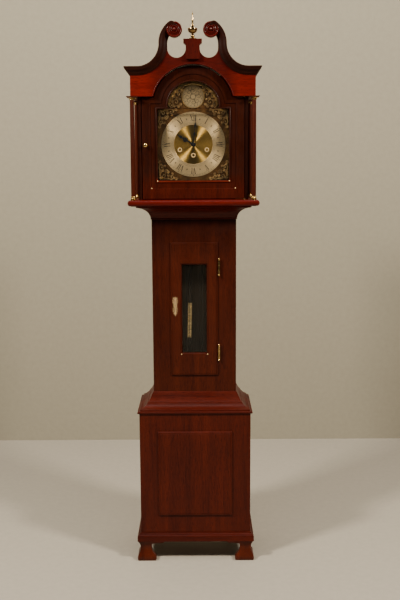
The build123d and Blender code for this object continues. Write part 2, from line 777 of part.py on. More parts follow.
def hand_face(length, widths, eye, angle):
    """Hand that points up from its eye, turned clockwise by an angle; widths are (share, half width)."""
    right = [(half, share * length) for share, half in widths]
    left = [(-x, z) for x, z in reversed(right)]
    face = outline(right + [(0, length)] + left) + Circle(eye)
    return Pos(0, dial_z) * Rot(0, 0, -angle) * face


hour_front = dial_face - ring_thick - hour_hand_gap
minute_front = hour_front - hand_thick - minute_hand_gap
hour_pipe_r = 5.0
minute_pipe_r = 3.2
cannon_y = front_plate_y - 5
hour_wheel_y = cannon_y - 3


def minute_hand():
    widths = ((0.03, 3), (0.2, 1.6), (0.3, 5.5), (0.4, 1.8), (0.62, 3.2), (0.7, 1.4), (0.9, 1.0))
    face = hand_face(minute_length, widths, 7, minute_angle) - Pos(0, dial_z) * Circle(minute_pipe_r)
    hand = slab(face, minute_front + hand_thick, hand_thick)
    pipe = rod(0, dial_z, minute_pipe_r, minute_front - 3, cannon_y)
    arbor = rod(0, dial_z, arbor_r, cannon_y, back_plate_y)
    wheel = gear(wheel_teeth, wheel_module, 0, dial_z, cannon_y, 2, minute_pipe_r - 1)
    return [hand, pipe + wheel + arbor]


def hour_hand():
    widths = ((0.04, 4), (0.25, 2.4), (0.42, 9), (0.6, 3), (0.72, 5.5), (0.82, 1.8))
    hole = Pos(0, dial_z) * Circle(hour_pipe_r)
    hand = slab(hand_face(hour_length, widths, 9, hour_angle) - hole, hour_front + hand_thick, hand_thick)
    pipe = rod(0, dial_z, hour_pipe_r, hour_front, hour_wheel_y)
    bore = rod(0, dial_z, minute_pipe_r + run_clear, -depth, depth)
    module = hour_module()
    wheel = gear(hour_teeth, module, 0, dial_z, hour_wheel_y, 2, minute_pipe_r + run_clear)
    return [hand, (pipe + wheel) - bore]


def hour_module():
    """Module that sets the hour pair on the same centres as the minute pair."""
    return wheel_module * 2 * wheel_teeth / (pinion_teeth + hour_teeth)


def minute_wheel():
    """Wheel and pinion that carry the minute arbor's motion to the hour wheel."""
    x = wheel_module * wheel_teeth
    wheel = gear(wheel_teeth, wheel_module, x, dial_z, cannon_y, 2, arbor_r, turn=180 + 180 / wheel_teeth)
    pinion = gear(pinion_teeth, hour_module(), x, dial_z, hour_wheel_y, 2, arbor_r / 2,
                  turn=180 + 180 / pinion_teeth)
    arbor = rod(x, dial_z, arbor_r, cannon_y - 2, front_plate_y + plate_thick)
    core = rod(x, dial_z, arbor_r * 0.8, hour_wheel_y - 2, cannon_y)
    return [wheel + arbor + core + pinion]


# ---- Movement ----
def movement_plates():
    """Front plate, back plate and the cock that carries the pendulum."""
    face = rect(-plate_half, plate_half, seat_top, seat_top + plate_height)
    holes = winding_holes(barrel_arbor_r + run_clear) + Pos(0, dial_z) * Circle(arbor_r + run_clear)
    holes += Pos(0, dial_z + escape_rise) * Circle(arbor_r + run_clear)
    holes += Pos(0, pivot_z) * Circle(arbor_r + run_clear)
    front = slab(face - holes - Pos(wheel_module * wheel_teeth, dial_z) * Circle(arbor_r + run_clear),
                 front_plate_y + plate_thick, plate_thick)
    back = slab(face - holes, back_plate_y, plate_thick)
    top = pivot_z + 10
    arm = block(-14, 14, back_plate_y, pendulum_y + 8, top, top + 4)
    foot = block(-14, 14, back_plate_y, back_plate_y + 3, pivot_z + 4, top)
    return [front, back, arm + foot]


def plate_pillars():
    low, high = seat_top + 12, seat_top + plate_height - 12
    return [rod(x, z, 4.5, front_plate_y + plate_thick, back_plate_y - plate_thick)
            for x in (-plate_half + 8, plate_half - 8) for z in (low, high)]


def seat_board():
    solid = block(-trunk_half, trunk_half, trunk_front + frame_thick, back_plate_y + 8, seat_bottom, seat_top)
    for x, _ in barrels.values():
        solid -= Pos(x - cable_at, cable_y, seat_bottom + seat_thick / 2) * Cylinder(4, seat_thick)
    return [solid]


def barrel(side):
    """Cable drum with end flanges on its winding arbor."""
    x, z = barrels[side]
    drum = rod(x, z, barrel_r, barrel_front, barrel_front + barrel_length)
    for y in (barrel_front - 2, barrel_front + barrel_length):
        drum += rod(x, z, barrel_r + 3.5, y, y + 2)
    arbor = rod(x, z, barrel_arbor_r, front_plate_y - 20, back_plate_y)
    square = slab(Pos(x, z) * Rectangle(3.4, 3.4), front_plate_y - 20, front_plate_y - 20 - dial_face)
    return [drum + arbor + square]


def escape_wheel():
    z, y = dial_z + escape_rise, front_plate_y + plate_thick + escape_behind
    points = []
    for tooth in range(escape_teeth):
        for radius, share in ((escape_r - 4, 0.0), (escape_r, 0.35), (escape_r, 0.42), (escape_r - 4, 0.6)):
            angle = math.radians((tooth + share) * 360 / escape_teeth)
            points.append((radius * math.cos(angle), radius * math.sin(angle)))
    wheel = slab(Pos(0, z) * outline(points), y + 2, 2)
    return [wheel + rod(0, z, arbor_r, front_plate_y, back_plate_y)]


def escape_anchor():
    """Anchor, its arbor and the crutch that embraces the pendulum rod."""
    y = front_plate_y + plate_thick + escape_behind
    tip = escape_r + pallet_clear
    reach = tip * math.sin(math.radians(48))
    low = dial_z + escape_rise + tip * math.cos(math.radians(48))
    face = outline([(-4, pivot_z + 4), (4, pivot_z + 4), (reach + 4, low + 8), (reach + 2.5, low), (reach, low),
                    (reach - 3, low + 8), (0, pivot_z - 6), (-reach + 3, low + 8), (-reach, low),
                    (-reach - 2.5, low), (-reach - 4, low + 8)])
    arms = slab(face, y + 2, 2)
    arbor = rod(0, pivot_z, arbor_r, front_plate_y, back_plate_y + 6)
    crutch = block(-2, 2, back_plate_y + 3, back_plate_y + 6, pivot_z - 150, pivot_z)
    cheek = rod_wide / 2 + face_gap
    bar_low, bar_high = pivot_z - 154, pivot_z - 150
    fork = block(-cheek - 2, cheek + 2, back_plate_y + 3, back_plate_y + 6, bar_low, bar_high)
    for x0, x1 in ((-cheek - 2, -cheek), (cheek, cheek + 2)):
        fork += block(x0, x1, back_plate_y + 3, pendulum_y + rod_thick / 2, bar_low, bar_high)
    return [arms + arbor, crutch + fork]


# ---- Pendulum ----
def swung(pieces):
    """Pieces turned about the pendulum's axis to the point in the swing that is shown."""
    axis = Pos(0, 0, pivot_z)
    return [axis * Rot(0, pendulum_angle, 0) * axis.inverse() * piece for piece in pieces]


bob_z = pivot_z - pendulum_length
sleeve_bottom = sleeve_top - sleeve_length


def pendulum_rod():
    """Upper and lower lengths of the rod, joined inside the sleeve, and the suspension spring."""
    y0, y1 = pendulum_y - rod_thick / 2, pendulum_y + rod_thick / 2
    joint = (sleeve_top + sleeve_bottom) / 2
    half = rod_wide / 2
    upper = block(-half, half, y0, y1, joint, pivot_z - 20)
    lower = block(-half, half, y0, y1, bob_z, joint)
    spring = block(-5, 5, pendulum_y - 0.4, pendulum_y + 0.4, pivot_z - 20, pivot_z + 9)
    tail = Pos(0, pendulum_y, bob_z - tail_length / 2) * Cylinder(tail_r, tail_length)
    return [upper, lower, spring, tail]


def pendulum_sleeve():
    outer = block(-sleeve_wide / 2, sleeve_wide / 2, pendulum_y - rod_thick / 2 - 1,
                  pendulum_y + rod_thick / 2 + 1, sleeve_bottom, sleeve_top)
    inner = block(-rod_wide / 2, rod_wide / 2, pendulum_y - rod_thick / 2, pendulum_y + rod_thick / 2,
                  sleeve_bottom, sleeve_top)
    return [outer - inner]


def pendulum_bob():
    """Lens of two equal spherical faces with a narrow rim, slotted for the rod and its tail."""
    half = bob_thick / 2
    face_r = (bob_r ** 2 + half ** 2) / (2 * half)
    centre = face_r - half
    lens = (Pos(0, pendulum_y - centre, bob_z) * Sphere(face_r)
            & Pos(0, pendulum_y + centre, bob_z) * Sphere(face_r))
    disc = lens & rod(0, bob_z, bob_r - 1, pendulum_y - half, pendulum_y + half)
    slot = block(-rod_wide / 2, rod_wide / 2, pendulum_y - rod_thick / 2, pendulum_y + rod_thick / 2,
                 bob_z, bob_z + bob_r + 1)
    tail = Pos(0, pendulum_y, bob_z - bob_r / 2) * Cylinder(tail_r, bob_r + 1)
    return [disc - slot - tail]


def pendulum_rating_nut():
    low = bob_z - bob_r - nut_high - 1
    nut = Pos(0, pendulum_y, low + nut_high / 2) * (Cylinder(nut_r, nut_high) - Cylinder(tail_r, nut_high))
    return [nut]


# ---- Weights ----
def weight(side):
    """Weight shell with its hook, the pulley's stirrup and the bight of cable under the pulley."""
    x = barrels[side][0]
    low, high = weight_bottom, weight_bottom + weight_length
    shell = [(0, low), (weight_r - 3, low), (weight_r, low + 4), (weight_r, high - 4), (weight_r - 3, high),
             (4, high), (2.5, high + 6), (0, high + 6)]
    cheek_out = pulley_wide / 2 + 2.2
    stirrup = block(x - 4, x + 4, cable_y - cheek_out, cable_y + cheek_out, high + 6, high + 9)
    for y0, y1 in ((-cheek_out, -cheek_out + 1.6), (cheek_out - 1.6, cheek_out)):
        stirrup += block(x - 4, x + 4, cable_y + y0, cable_y + y1, high + 6, pulley_z + 6)
    axle = rod(x, pulley_z, arbor_r, cable_y - cheek_out, cable_y + cheek_out)
    path = Plane(origin=(x, cable_y, pulley_z), x_dir=(1, 0, 0), z_dir=(0, -1, 0)) * \
        ThreePointArc((-cable_at, 0), (0, -cable_at), (cable_at, 0))
    start = Plane(origin=(x - cable_at, cable_y, pulley_z), z_dir=(0, 0, 1))
    bight = sweep(start * Circle(cable_r), path=path)
    return [turned(shell, x, cable_y), stirrup + axle, bight]


def pulley(side):
    x = barrels[side][0]
    groove = cable_at - cable_r - face_gap
    rim = cable_at + pulley_flange
    flat = pulley_wide / 2
    face = [(arbor_r + run_clear, -flat), (rim, -flat), (rim, -2.2), (groove, -1.2), (groove, 1.2), (rim, 2.2),
            (rim, flat), (arbor_r + run_clear, flat)]
    plane = Plane(origin=(x, cable_y, pulley_z), x_dir=(1, 0, 0), z_dir=(0, 0, 1))
    return [revolve(plane * outline(face), Axis((x, cable_y, pulley_z), (0, 1, 0)))]


def cable(side):
    """Two straight falls: one from the barrel, one tied under the seat board."""
    x, z = barrels[side]
    falls = []
    for fall_x, top in ((x - cable_at, z), (x + cable_at, seat_bottom)):
        falls.append(Pos(fall_x, cable_y, (pulley_z + top) / 2) * Cylinder(cable_r, top - pulley_z))
    return falls


def parts():
    """Node name to its list of solids."""
    fixed_leaves, door_leaves = hinge_parts()
    nodes = {"trunk_hinge_leaves": fixed_leaves, "trunk_door_hinge_leaves": door_leaves}
    for make in (bracket_feet, case_mouldings, base_sides, base_front_frame, base_front_panel,
                 base_floor_and_blocks, back_board, trunk_front_frame, trunk_sides, trunk_door_frame,
                 trunk_door_glass, trunk_escutcheon, trunk_door_lock, trunk_lock_bolt, hood_base_moulding,
                 hood_sides, hood_tympanum, hood_frieze_sides, cornice_mouldings, hood_rosettes, finial_plinth,
                 finial, hood_columns, column_brasses, hood_roof, dial_mask, hood_door_frame, hood_door_glass,
                 hood_door_knob, hood_door_pivots, dial_plate, silvered_ring_and_boss, dial_brassware,
                 minute_hand, hour_hand, minute_wheel, movement_plates, plate_pillars, seat_board,
                 escape_wheel):
        nodes[make.__name__] = make()
    for make in (escape_anchor, pendulum_rod, pendulum_sleeve, pendulum_bob, pendulum_rating_nut):
        nodes[make.__name__] = swung(make())
    for side in barrels:
        nodes["winding_barrel_" + side] = barrel(side)
        nodes["weight_" + side] = weight(side)
        nodes["weight_pulley_" + side] = pulley(side)
        nodes["weight_cable_" + side] = cable(side)
    return nodes


os.makedirs("parts", exist_ok=True)
for name, pieces in parts().items():
    solids = [solid for piece in pieces for solid in piece.solids()]
    shape = solids[0] if len(solids) == 1 else Compound(children=solids)
    export_step(shape, os.path.join("parts", name + ".step"))
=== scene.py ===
import json
import math

import bmesh
import bpy
from mathutils import Matrix, Vector


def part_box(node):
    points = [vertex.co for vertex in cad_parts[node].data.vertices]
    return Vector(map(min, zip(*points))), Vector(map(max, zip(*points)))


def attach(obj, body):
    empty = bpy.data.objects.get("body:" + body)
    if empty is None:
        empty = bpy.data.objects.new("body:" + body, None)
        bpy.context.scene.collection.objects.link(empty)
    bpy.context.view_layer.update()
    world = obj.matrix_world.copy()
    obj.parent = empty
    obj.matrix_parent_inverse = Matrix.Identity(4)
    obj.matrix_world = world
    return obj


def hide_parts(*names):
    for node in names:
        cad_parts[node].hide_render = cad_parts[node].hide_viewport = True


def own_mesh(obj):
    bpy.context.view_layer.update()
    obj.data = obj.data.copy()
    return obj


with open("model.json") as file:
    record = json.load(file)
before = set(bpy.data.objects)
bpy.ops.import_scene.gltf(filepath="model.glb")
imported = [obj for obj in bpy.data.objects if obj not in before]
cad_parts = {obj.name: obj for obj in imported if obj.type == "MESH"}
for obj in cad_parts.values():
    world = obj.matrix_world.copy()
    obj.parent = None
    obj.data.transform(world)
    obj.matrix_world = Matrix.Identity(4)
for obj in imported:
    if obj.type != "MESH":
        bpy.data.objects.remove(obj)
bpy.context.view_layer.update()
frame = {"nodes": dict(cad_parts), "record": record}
nodes = frame["nodes"]
MM = 0.001

# ---- camera, light and floor
EYE_HEIGHT = 1.541
EYE_DISTANCE = 3.205          # from the trunk's front
EYE_RIGHT = 0.022
PITCH_DOWN = 8.8
ROLL = -0.3
LENS, SENSOR = 50, 36
WARM = (1.0, 0.90, 0.74)
ROOM_TONE, ROOM_POWER = (0.80, 0.78, 0.74, 1), 0.055


def set_camera():
    data = bpy.data.cameras.new("view")
    data.lens, data.sensor_width = LENS, SENSOR
    camera = bpy.data.objects.new("view", data)
    bpy.context.scene.collection.objects.link(camera)
    trunk_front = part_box("trunk_front_frame")[0].y
    camera.matrix_world = (Matrix.Translation((EYE_RIGHT, trunk_front - EYE_DISTANCE, EYE_HEIGHT))
                           @ Matrix.Rotation(math.radians(90 - PITCH_DOWN), 4, "X")
                           @ Matrix.Rotation(math.radians(ROLL), 4, "Z"))
    bpy.context.scene.camera = camera


def area_light(name, place, aim, size, power, colour):
    data = bpy.data.lights.new(name, "AREA")
    data.size = size
    data.energy = power
    data.color = colour
    lamp = bpy.data.objects.new(name, data)
    bpy.context.scene.collection.objects.link(lamp)
    lamp.location = place
    lamp.rotation_euler = (Vector(aim) - Vector(place)).to_track_quat("-Z", "Y").to_euler()


def set_light():
    area_light("key_left", (-2.3, -1.9, 3.35), (0, 0, 1.45), 0.5, 160, WARM)
    area_light("key_right", (2.35, -1.8, 3.3), (0, 0, 1.45), 0.5, 138, WARM)
    area_light("low_glow", (0.08, -3.7, 0.30), (0.0, 0, 1.0), 0.62, 0.95, (1.0, 0.74, 0.48))
    area_light("backdrop_wash", (0.0, -0.4, 4.2), (0, 1.6, 0.9), 2.0, 55, (1.0, 0.96, 0.88))
    world = bpy.data.worlds.new("studio")
    world.use_nodes = True
    room = world.node_tree.nodes["Background"].inputs
    room["Color"].default_value = ROOM_TONE
    room["Strength"].default_value = ROOM_POWER
    bpy.context.scene.world = world


# ---- material helpers
class Shade:
    """Small builder for one Principled material."""

    def __init__(self, name, metallic=0.0, roughness=0.5):
        self.material = bpy.data.materials.new(name)
        self.material.use_nodes = True
        self.tree = self.material.node_tree
        self.shader = self.tree.nodes["Principled BSDF"]
        self.set("Metallic", metallic)
        self.set("Roughness", roughness)
        self.coords = self.tree.nodes.new("ShaderNodeTexCoord").outputs["Object"]

    def set(self, socket, value):
        self.shader.inputs[socket].default_value = value

    def add(self, kind, **options):
        node = self.tree.nodes.new(kind)
        for key, value in options.items():
            setattr(node, key, value)
        return node

    def link(self, out, into):
        self.tree.links.new(out, into)

    def mapped(self, scale=(1, 1, 1), centre=(0, 0, 0)):
        node = self.add("ShaderNodeMapping")
        node.inputs["Scale"].default_value = scale
        node.inputs["Location"].default_value = [-c * s for c, s in zip(centre, scale)]
        self.link(self.coords, node.inputs["Vector"])
        return node.outputs["Vector"]

    def noise(self, scale, detail=4.0, roughness=0.55, distortion=0.0, vector=None):
        node = self.add("ShaderNodeTexNoise")
        node.inputs["Scale"].default_value = scale
        node.inputs["Detail"].default_value = detail
        node.inputs["Roughness"].default_value = roughness
        node.inputs["Distortion"].default_value = distortion
        self.link(vector or self.mapped(), node.inputs["Vector"])
        return node.outputs["Fac"]

    def ramp(self, value, stops):
        node = self.add("ShaderNodeValToRGB")
        ramp = node.color_ramp
        while len(ramp.elements) < len(stops):
            ramp.elements.new(0.5)
        for element, (place, colour) in zip(ramp.elements, stops):
            element.position = place
            element.color = (*colour, 1)
        self.link(value, node.inputs["Fac"])
        return node.outputs["Color"]

    def span(self, value, low, high, start=0.0, end=1.0):
        node = self.add("ShaderNodeMapRange")
        for socket, number in (("From Min", start), ("From Max", end), ("To Min", low), ("To Max", high)):
            node.inputs[socket].default_value = number
        self.link(value, node.inputs["Value"])
        return node.outputs["Result"]

    def math(self, operation, first, second):
        node = self.add("ShaderNodeMath", operation=operation)
        for socket, value in zip(node.inputs, (first, second)):
            if isinstance(value, (int, float)):
                socket.default_value = value
            else:
                self.link(value, socket)
        return node.outputs["Value"]

    def tint(self, first, second):
        """Product of two colours."""
        node = self.add("ShaderNodeMix", data_type="RGBA", blend_type="MULTIPLY")
        node.inputs[0].default_value = 1.0
        self.link(first, node.inputs[6])
        self.link(second, node.inputs[7])
        return node.outputs[2]

    def bump(self, height, strength, distance=0.001):
        node = self.add("ShaderNodeBump")
        node.inputs["Strength"].default_value = strength
        node.inputs["Distance"].default_value = distance
        self.link(height, node.inputs["Height"])
        self.link(node.outputs["Normal"], self.shader.inputs["Normal"])

    def colour(self, value, *stops):
        self.link(self.ramp(value, stops), self.shader.inputs["Base Color"])

    def rough(self, value, low, high):
        """Roughness between two values, over the middle of a noise's range."""
        self.link(self.span(value, low, high, 0.3, 0.7), self.shader.inputs["Roughness"])


GRAIN = {"x": (0.055, 1, 1), "y": (1, 0.055, 1), "z": (1, 1, 0.055)}


def wood(name, dark, mid, light, grain="z", coat=0.06, roughness=0.40, painted_light=None):
    """Stained and lacquered mahogany: ribbon figure, fibres, open pores and a polished film; painted_light is
    (axis, start, end, tone at the start): painted shade or highlight that scales the colour along one axis."""
    s = Shade(name, roughness=roughness)
    along = s.mapped(GRAIN[grain])
    figure = s.noise(22, 5, 0.6, 0.7, along)
    fibre = s.noise(260, 6, 0.65, 0.2, along)
    pores = s.noise(900, 2, 0.5, vector=along)
    base = s.ramp(s.math("ADD", s.math("MULTIPLY", figure, 0.62), s.math("MULTIPLY", fibre, 0.38)),
                  ((0.30, dark), (0.5, mid), (0.72, light)))
    pore_tone = s.ramp(pores, ((0.36, (0.5, 0.45, 0.45)), (0.46, (1, 1, 1))))
    broad = s.ramp(s.noise(3.2, 3, 0.5), ((0.3, (0.82, 0.78, 0.78)), (0.7, (1.12, 1.06, 1.04))))
    tone = s.tint(s.tint(base, pore_tone), broad)
    # painted shade or highlight: the colour is scaled towards the given tone along one axis
    if painted_light:
        axis, start, end, painted_tone = painted_light
        place = s.add("ShaderNodeSeparateXYZ")
        s.link(s.coords, place.inputs[0])
        reach = s.span(s.math("ABSOLUTE", place.outputs[axis], 0.0), 0.0, 1.0, start, end)
        tone = s.tint(tone, s.ramp(reach, ((0.0, painted_tone), (1.0, (1, 1, 1)))))
    s.link(tone, s.shader.inputs["Base Color"])
    s.rough(s.noise(14, 5, 0.6), roughness - 0.07, roughness + 0.1)
    s.bump(s.math("ADD", s.math("MULTIPLY", fibre, 0.6), s.math("MULTIPLY", pores, 0.4)), 0.10, 0.0004)
    s.set("Coat Weight", coat)
    s.set("Coat Roughness", 0.14)
    s.set("Specular IOR Level", 0.11)
    return s.material


def plain_wood(name, dark, light):
    """Unpolished secondary timber with saw marks."""
    s = Shade(name, roughness=0.7)
    along = s.mapped(GRAIN["z"])
    fibre = s.noise(120, 6, 0.6, 0.4, along)
    s.colour(s.noise(30, 6, 0.6, 0.8, along), (0.3, dark), (0.7, light))
    s.rough(fibre, 0.6, 0.85)
    s.bump(fibre, 0.35, 0.0006)
    return s.material


def brass(name, roughness=0.2, tone=(0.86, 0.62, 0.26), dull=(0.42, 0.27, 0.10), amount=(0.45, 0.75),
          metallic=1.0):
    """Polished brass that has dulled in patches."""
    s = Shade(name, metallic=metallic, roughness=roughness)
    s.colour(s.noise(45, 6, 0.6, 0.3), (amount[0], tone), (amount[1], dull))
    s.rough(s.noise(160, 4), roughness - 0.05, roughness + 0.14)
    s.bump(s.noise(420, 3), 0.05, 0.0003)
    return s.material


def combed_metal(name, centre, tone, dull, roughness, radial, metallic=1.0, spread=0.85):
    """Metal combed in fine lines, either round a centre or out from it."""
    s = Shade(name, metallic=metallic, roughness=roughness)
    place = s.add("ShaderNodeSeparateXYZ")
    s.link(s.mapped(centre=centre), place.inputs[0])
    comb = s.add("ShaderNodeCombineXYZ")
    if radial:
        s.link(s.math("MULTIPLY", place.outputs["Z"], -1.0), comb.inputs["X"])
        s.link(place.outputs["X"], comb.inputs["Z"])
    else:
        s.link(place.outputs["X"], comb.inputs["X"])
        s.link(place.outputs["Z"], comb.inputs["Z"])
    unit_way = s.add("ShaderNodeVectorMath", operation="NORMALIZE")
    s.link(comb.outputs[0], unit_way.inputs[0])
    s.link(unit_way.outputs[0], s.shader.inputs["Tangent"])
    s.set("Anisotropic", spread)
    grit = s.noise(300, 5)
    s.colour(s.noise(26, 5, 0.6), (0.35, tone), (0.75, dull))
    s.rough(grit, roughness - 0.04, roughness + 0.08)
    s.bump(grit, 0.05, 0.0002)
    return s.material


def matted_brass(name):
    """Dark stippled ground behind the cast ornament."""
    s = Shade(name, metallic=1.0, roughness=0.5)
    cell = s.add("ShaderNodeTexVoronoi")
    cell.inputs["Scale"].default_value = 900
    s.link(s.coords, cell.inputs["Vector"])
    s.colour(s.noise(60, 5), (0.35, (0.165, 0.078, 0.024)), (0.7, (0.060, 0.030, 0.012)))
    s.bump(cell.outputs["Distance"], 0.7, 0.0006)
    return s.material


def steel(name, tone, roughness, metallic=1.0):
    s = Shade(name, metallic=metallic, roughness=roughness)
    s.colour(s.noise(90, 5), (0.3, tone), (0.75, [c * 0.6 for c in tone]))
    s.rough(s.noise(240, 4), roughness - 0.06, roughness + 0.12)
    s.bump(s.noise(500, 3, vector=s.mapped((1, 1, 8))), 0.06, 0.0003)
    return s.material


def engraving(name):
    """Black wax in the engraved figures."""
    s = Shade(name, roughness=0.42)
    s.colour(s.noise(500, 4), (0.3, (0.012, 0.011, 0.010)), (0.7, (0.03, 0.027, 0.024)))
    s.bump(s.noise(900, 2), 0.15, 0.0003)
    return s.material


def pane(name, alpha):
    """Clear sheet glass with a faint ripple."""
    s = Shade(name, roughness=0.03)
    s.colour(s.noise(6, 2), (0.3, (0.015, 0.017, 0.015)), (0.7, (0.03, 0.034, 0.03)))
    s.set("Alpha", alpha)
    s.set("Specular IOR Level", 1.0)
    s.bump(s.noise(9, 2), 0.04, 0.002)
    return s.material


def studio_paint(name, tone):
    s = Shade(name, roughness=0.8)
    s.colour(s.noise(40, 6), (0.3, tone), (0.7, [c * 1.08 for c in tone]))
    return s.material


# ---- mesh helpers
def finish_mesh(name, bm, material, smooth=35.0, body=None, replaces=(), solid=True):
    """Turns a bmesh into a piece at the origin, shaded smooth below an edge angle."""
    if solid:
        bmesh.ops.recalc_face_normals(bm, faces=bm.faces)
    mesh = bpy.data.meshes.new(name)
    bm.to_mesh(mesh)
    bm.free()
    mesh.polygons.foreach_set("use_smooth", [True] * len(mesh.polygons))
    mesh.set_sharp_from_angle(angle=math.radians(smooth))
    mesh.materials.append(material)
    piece = bpy.data.objects.new(name, mesh)
    bpy.context.scene.collection.objects.link(piece)
    if body:
        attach(piece, body)
    if replaces:
        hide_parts(*replaces)
    return piece


def add_rings(bm, rings, loop=False, sheet=False):
    """Skins rings of points with quads: capped at both ends, joined end to end, or left an open sheet."""
    rows = [[bm.verts.new(Vector(p) * MM) for p in ring] for ring in rings]
    count = len(rows[0])
    for a, b in list(zip(rows, rows[1:])) + ([(rows[-1], rows[0])] if loop else []):
        for i in range(count - 1 if sheet else count):
            j = (i + 1) % count
            bm.faces.new((a[i], a[j], b[j], b[i]))
    if not (loop or sheet):
        bm.faces.new(rows[0][::-1])
        bm.faces.new(rows[-1])


def unit(degrees):
    """Cosine and sine of an angle."""
    return math.cos(math.radians(degrees)), math.sin(math.radians(degrees))


def circle(sides):
    return [unit(360 * i / sides) for i in range(sides)]


def arc(cx, cy, r, start, end, steps):
    """Points on a circle, angles in degrees."""
    ways = [unit(start + (end - start) * i / steps) for i in range(steps + 1)]
    return [(cx + r * c, cy + r * s) for c, s in ways]


POLE_R = 0.02                 # stands for nothing where a turned solid meets its axis


def add_lathe(bm, profile, centre, axis="z", sides=48):
    """Closed solid turned from (radius, height) points; height runs along +Z, or along -Y from the centre."""
    x, y, z = centre
    rings = []
    for r, h in [(max(r, POLE_R), h) for r, h in profile]:
        rings.append([(x + r * c, y + r * s, z + h) if axis == "z" else (x + r * c, y - h, z + r * s)
                      for c, s in circle(sides)])
    add_rings(bm, rings)


def add_tube(bm, path, radii, sides=8):
    """Round bar along 3-D points, with one radius or a radius for each point."""
    rings = []
    for i, point in enumerate(path):
        way = (Vector(path[min(i + 1, len(path) - 1)]) - Vector(path[max(i - 1, 0)])).normalized()
        side = way.cross(Vector((0, 1, 0)))
        side = side.normalized() if side.length > 1e-4 else Vector((1, 0, 0))
        up = side.cross(way).normalized()
        r = radii[i] if isinstance(radii, list) else radii
        rings.append([Vector(point) + side * r * c + up * r * s for c, s in circle(sides)])
    add_rings(bm, rings)


def add_box(bm, low, high, bevel=0.0):
    (x0, y0, z0), (x1, y1, z1) = low, high
    ends = ((y0, bevel), (y0 + bevel, 0), (y1 - bevel, 0), (y1, bevel)) if bevel else ((y0, 0), (y1, 0))
    add_rings(bm, [[(x0 + d, y, z0 + d), (x1 - d, y, z0 + d), (x1 - d, y, z1 - d), (x0 + d, y, z1 - d)]
                   for y, d in ends])


def add_mitred(bm, profile, half, front, base):
    """Moulding round the left, front and right of the case; profile is (outward, height over the base)."""
    add_rings(bm, [[(side * (half + out), back_y if rear else front - out, base + h) for out, h in profile]
                   for side, rear in ((-1, True), (-1, False), (1, False), (1, True))])


def loop_normals(points):
    """Mitre direction at each corner of a closed outline of (x, z) points, inwards for a left turn."""
    result = []
    for i, point in enumerate(points):
        a = (Vector(point) - Vector(points[i - 1])).normalized()
        b = (Vector(points[(i + 1) % len(points)]) - Vector(point)).normalized()
        na, nb = Vector((-a.y, a.x)), Vector((-b.y, b.x))
        result.append((na + nb) / max(1e-6, 1 + na.dot(nb)))
    return result


def add_bead(bm, points, profile, face_y):
    """Moulding along a closed counter-clockwise outline; profile is (inwards, forwards)."""
    add_rings(bm, [[(x + n.x * a, face_y - b, z + n.y * a) for a, b in profile]
                   for (x, z), n in zip(points, loop_normals(points))], loop=True)


def node_mm(name):
    low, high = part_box(name)
    return low / MM, high / MM


def paint(node, material):
    """Gives a CAD node its material."""
    mesh = nodes[node].data
    mesh.materials.clear()
    mesh.materials.append(material)


ARRIS = 0.8


def soften(node):
    """Eased arrises on a carried-over board."""
    weld = nodes[node].modifiers.new("weld", "WELD")
    weld.merge_threshold = 0.00001
    bevel = nodes[node].modifiers.new("arris", "BEVEL")
    bevel.width = ARRIS * MM
    bevel.segments = 2
    bevel.limit_method = "ANGLE"
    bevel.angle_limit = math.radians(40)
    bevel.harden_normals = False


set_camera()
set_light()

# ---- finishes
CASE = (0.026, 0.0040, 0.0018), (0.052, 0.0084, 0.0031), (0.085, 0.0140, 0.0048)
HOOD = (0.074, 0.0030, 0.0012), (0.112, 0.0050, 0.0018), (0.156, 0.0082, 0.0026)
DARK = (0.014, 0.0024, 0.0007), (0.026, 0.0042, 0.0011), (0.044, 0.0070, 0.0020)
WALNUT = (0.02, 0.008, 0.004), (0.04, 0.016, 0.008), (0.07, 0.03, 0.014)


def stained(tones, red, green, blue):
    return [(red * r, green * g, blue * b) for r, g, b in tones]


# painted shadow: the trunk's colour darkens towards the top, where the hood's shadow falls
case_z = wood("case_mahogany_upright_painted_shadow", *CASE, painted_light=("Z", 1.37, 1.19, (0.36, 0.40, 0.40)))
cove_x = wood("moulding_mahogany", *stained(CASE, 1.3, 0.8, 0.7), "x")
cove_z = wood("foot_mahogany", *stained(CASE, 1.5, 1.5, 1.5))
column_z = wood("column_mahogany", *stained(CASE, 1.1, 1.1, 1.1), "z", 0.05, 0.42)
# painted shade: the tympanum is darker towards the middle, leaving its ends brighter as if lit
hood_x = wood("hood_mahogany_level_painted_shade", *HOOD, "x", painted_light=("X", 0.125, 0.172, (0.5, 0.6, 0.6)))
shelf_x = wood("hood_shelf_mahogany", *stained(HOOD, 0.8, 0.8, 0.8), "x")
rosette_x = wood("rosette_mahogany", *stained(HOOD, 0.6, 0.6, 0.6), "x", 0.15, 0.34)
plinth_z = wood("plinth_mahogany", *stained(HOOD, 0.48, 0.8, 1.0))
base_z = wood("base_mahogany", *stained(CASE, 1.3, 1.0, 1.0))
dark_x = wood("swan_neck_mahogany", *stained(DARK, 0.8, 0.8, 0.8), "x", 0.0, 0.5)
# painted highlight: the hood door frame and dial mask are brighter red towards the bottom
dark_z = wood("hood_door_mahogany_painted_light", *DARK, painted_light=("Z", 1.47, 1.54, (1.9, 1.3, 1.2)))
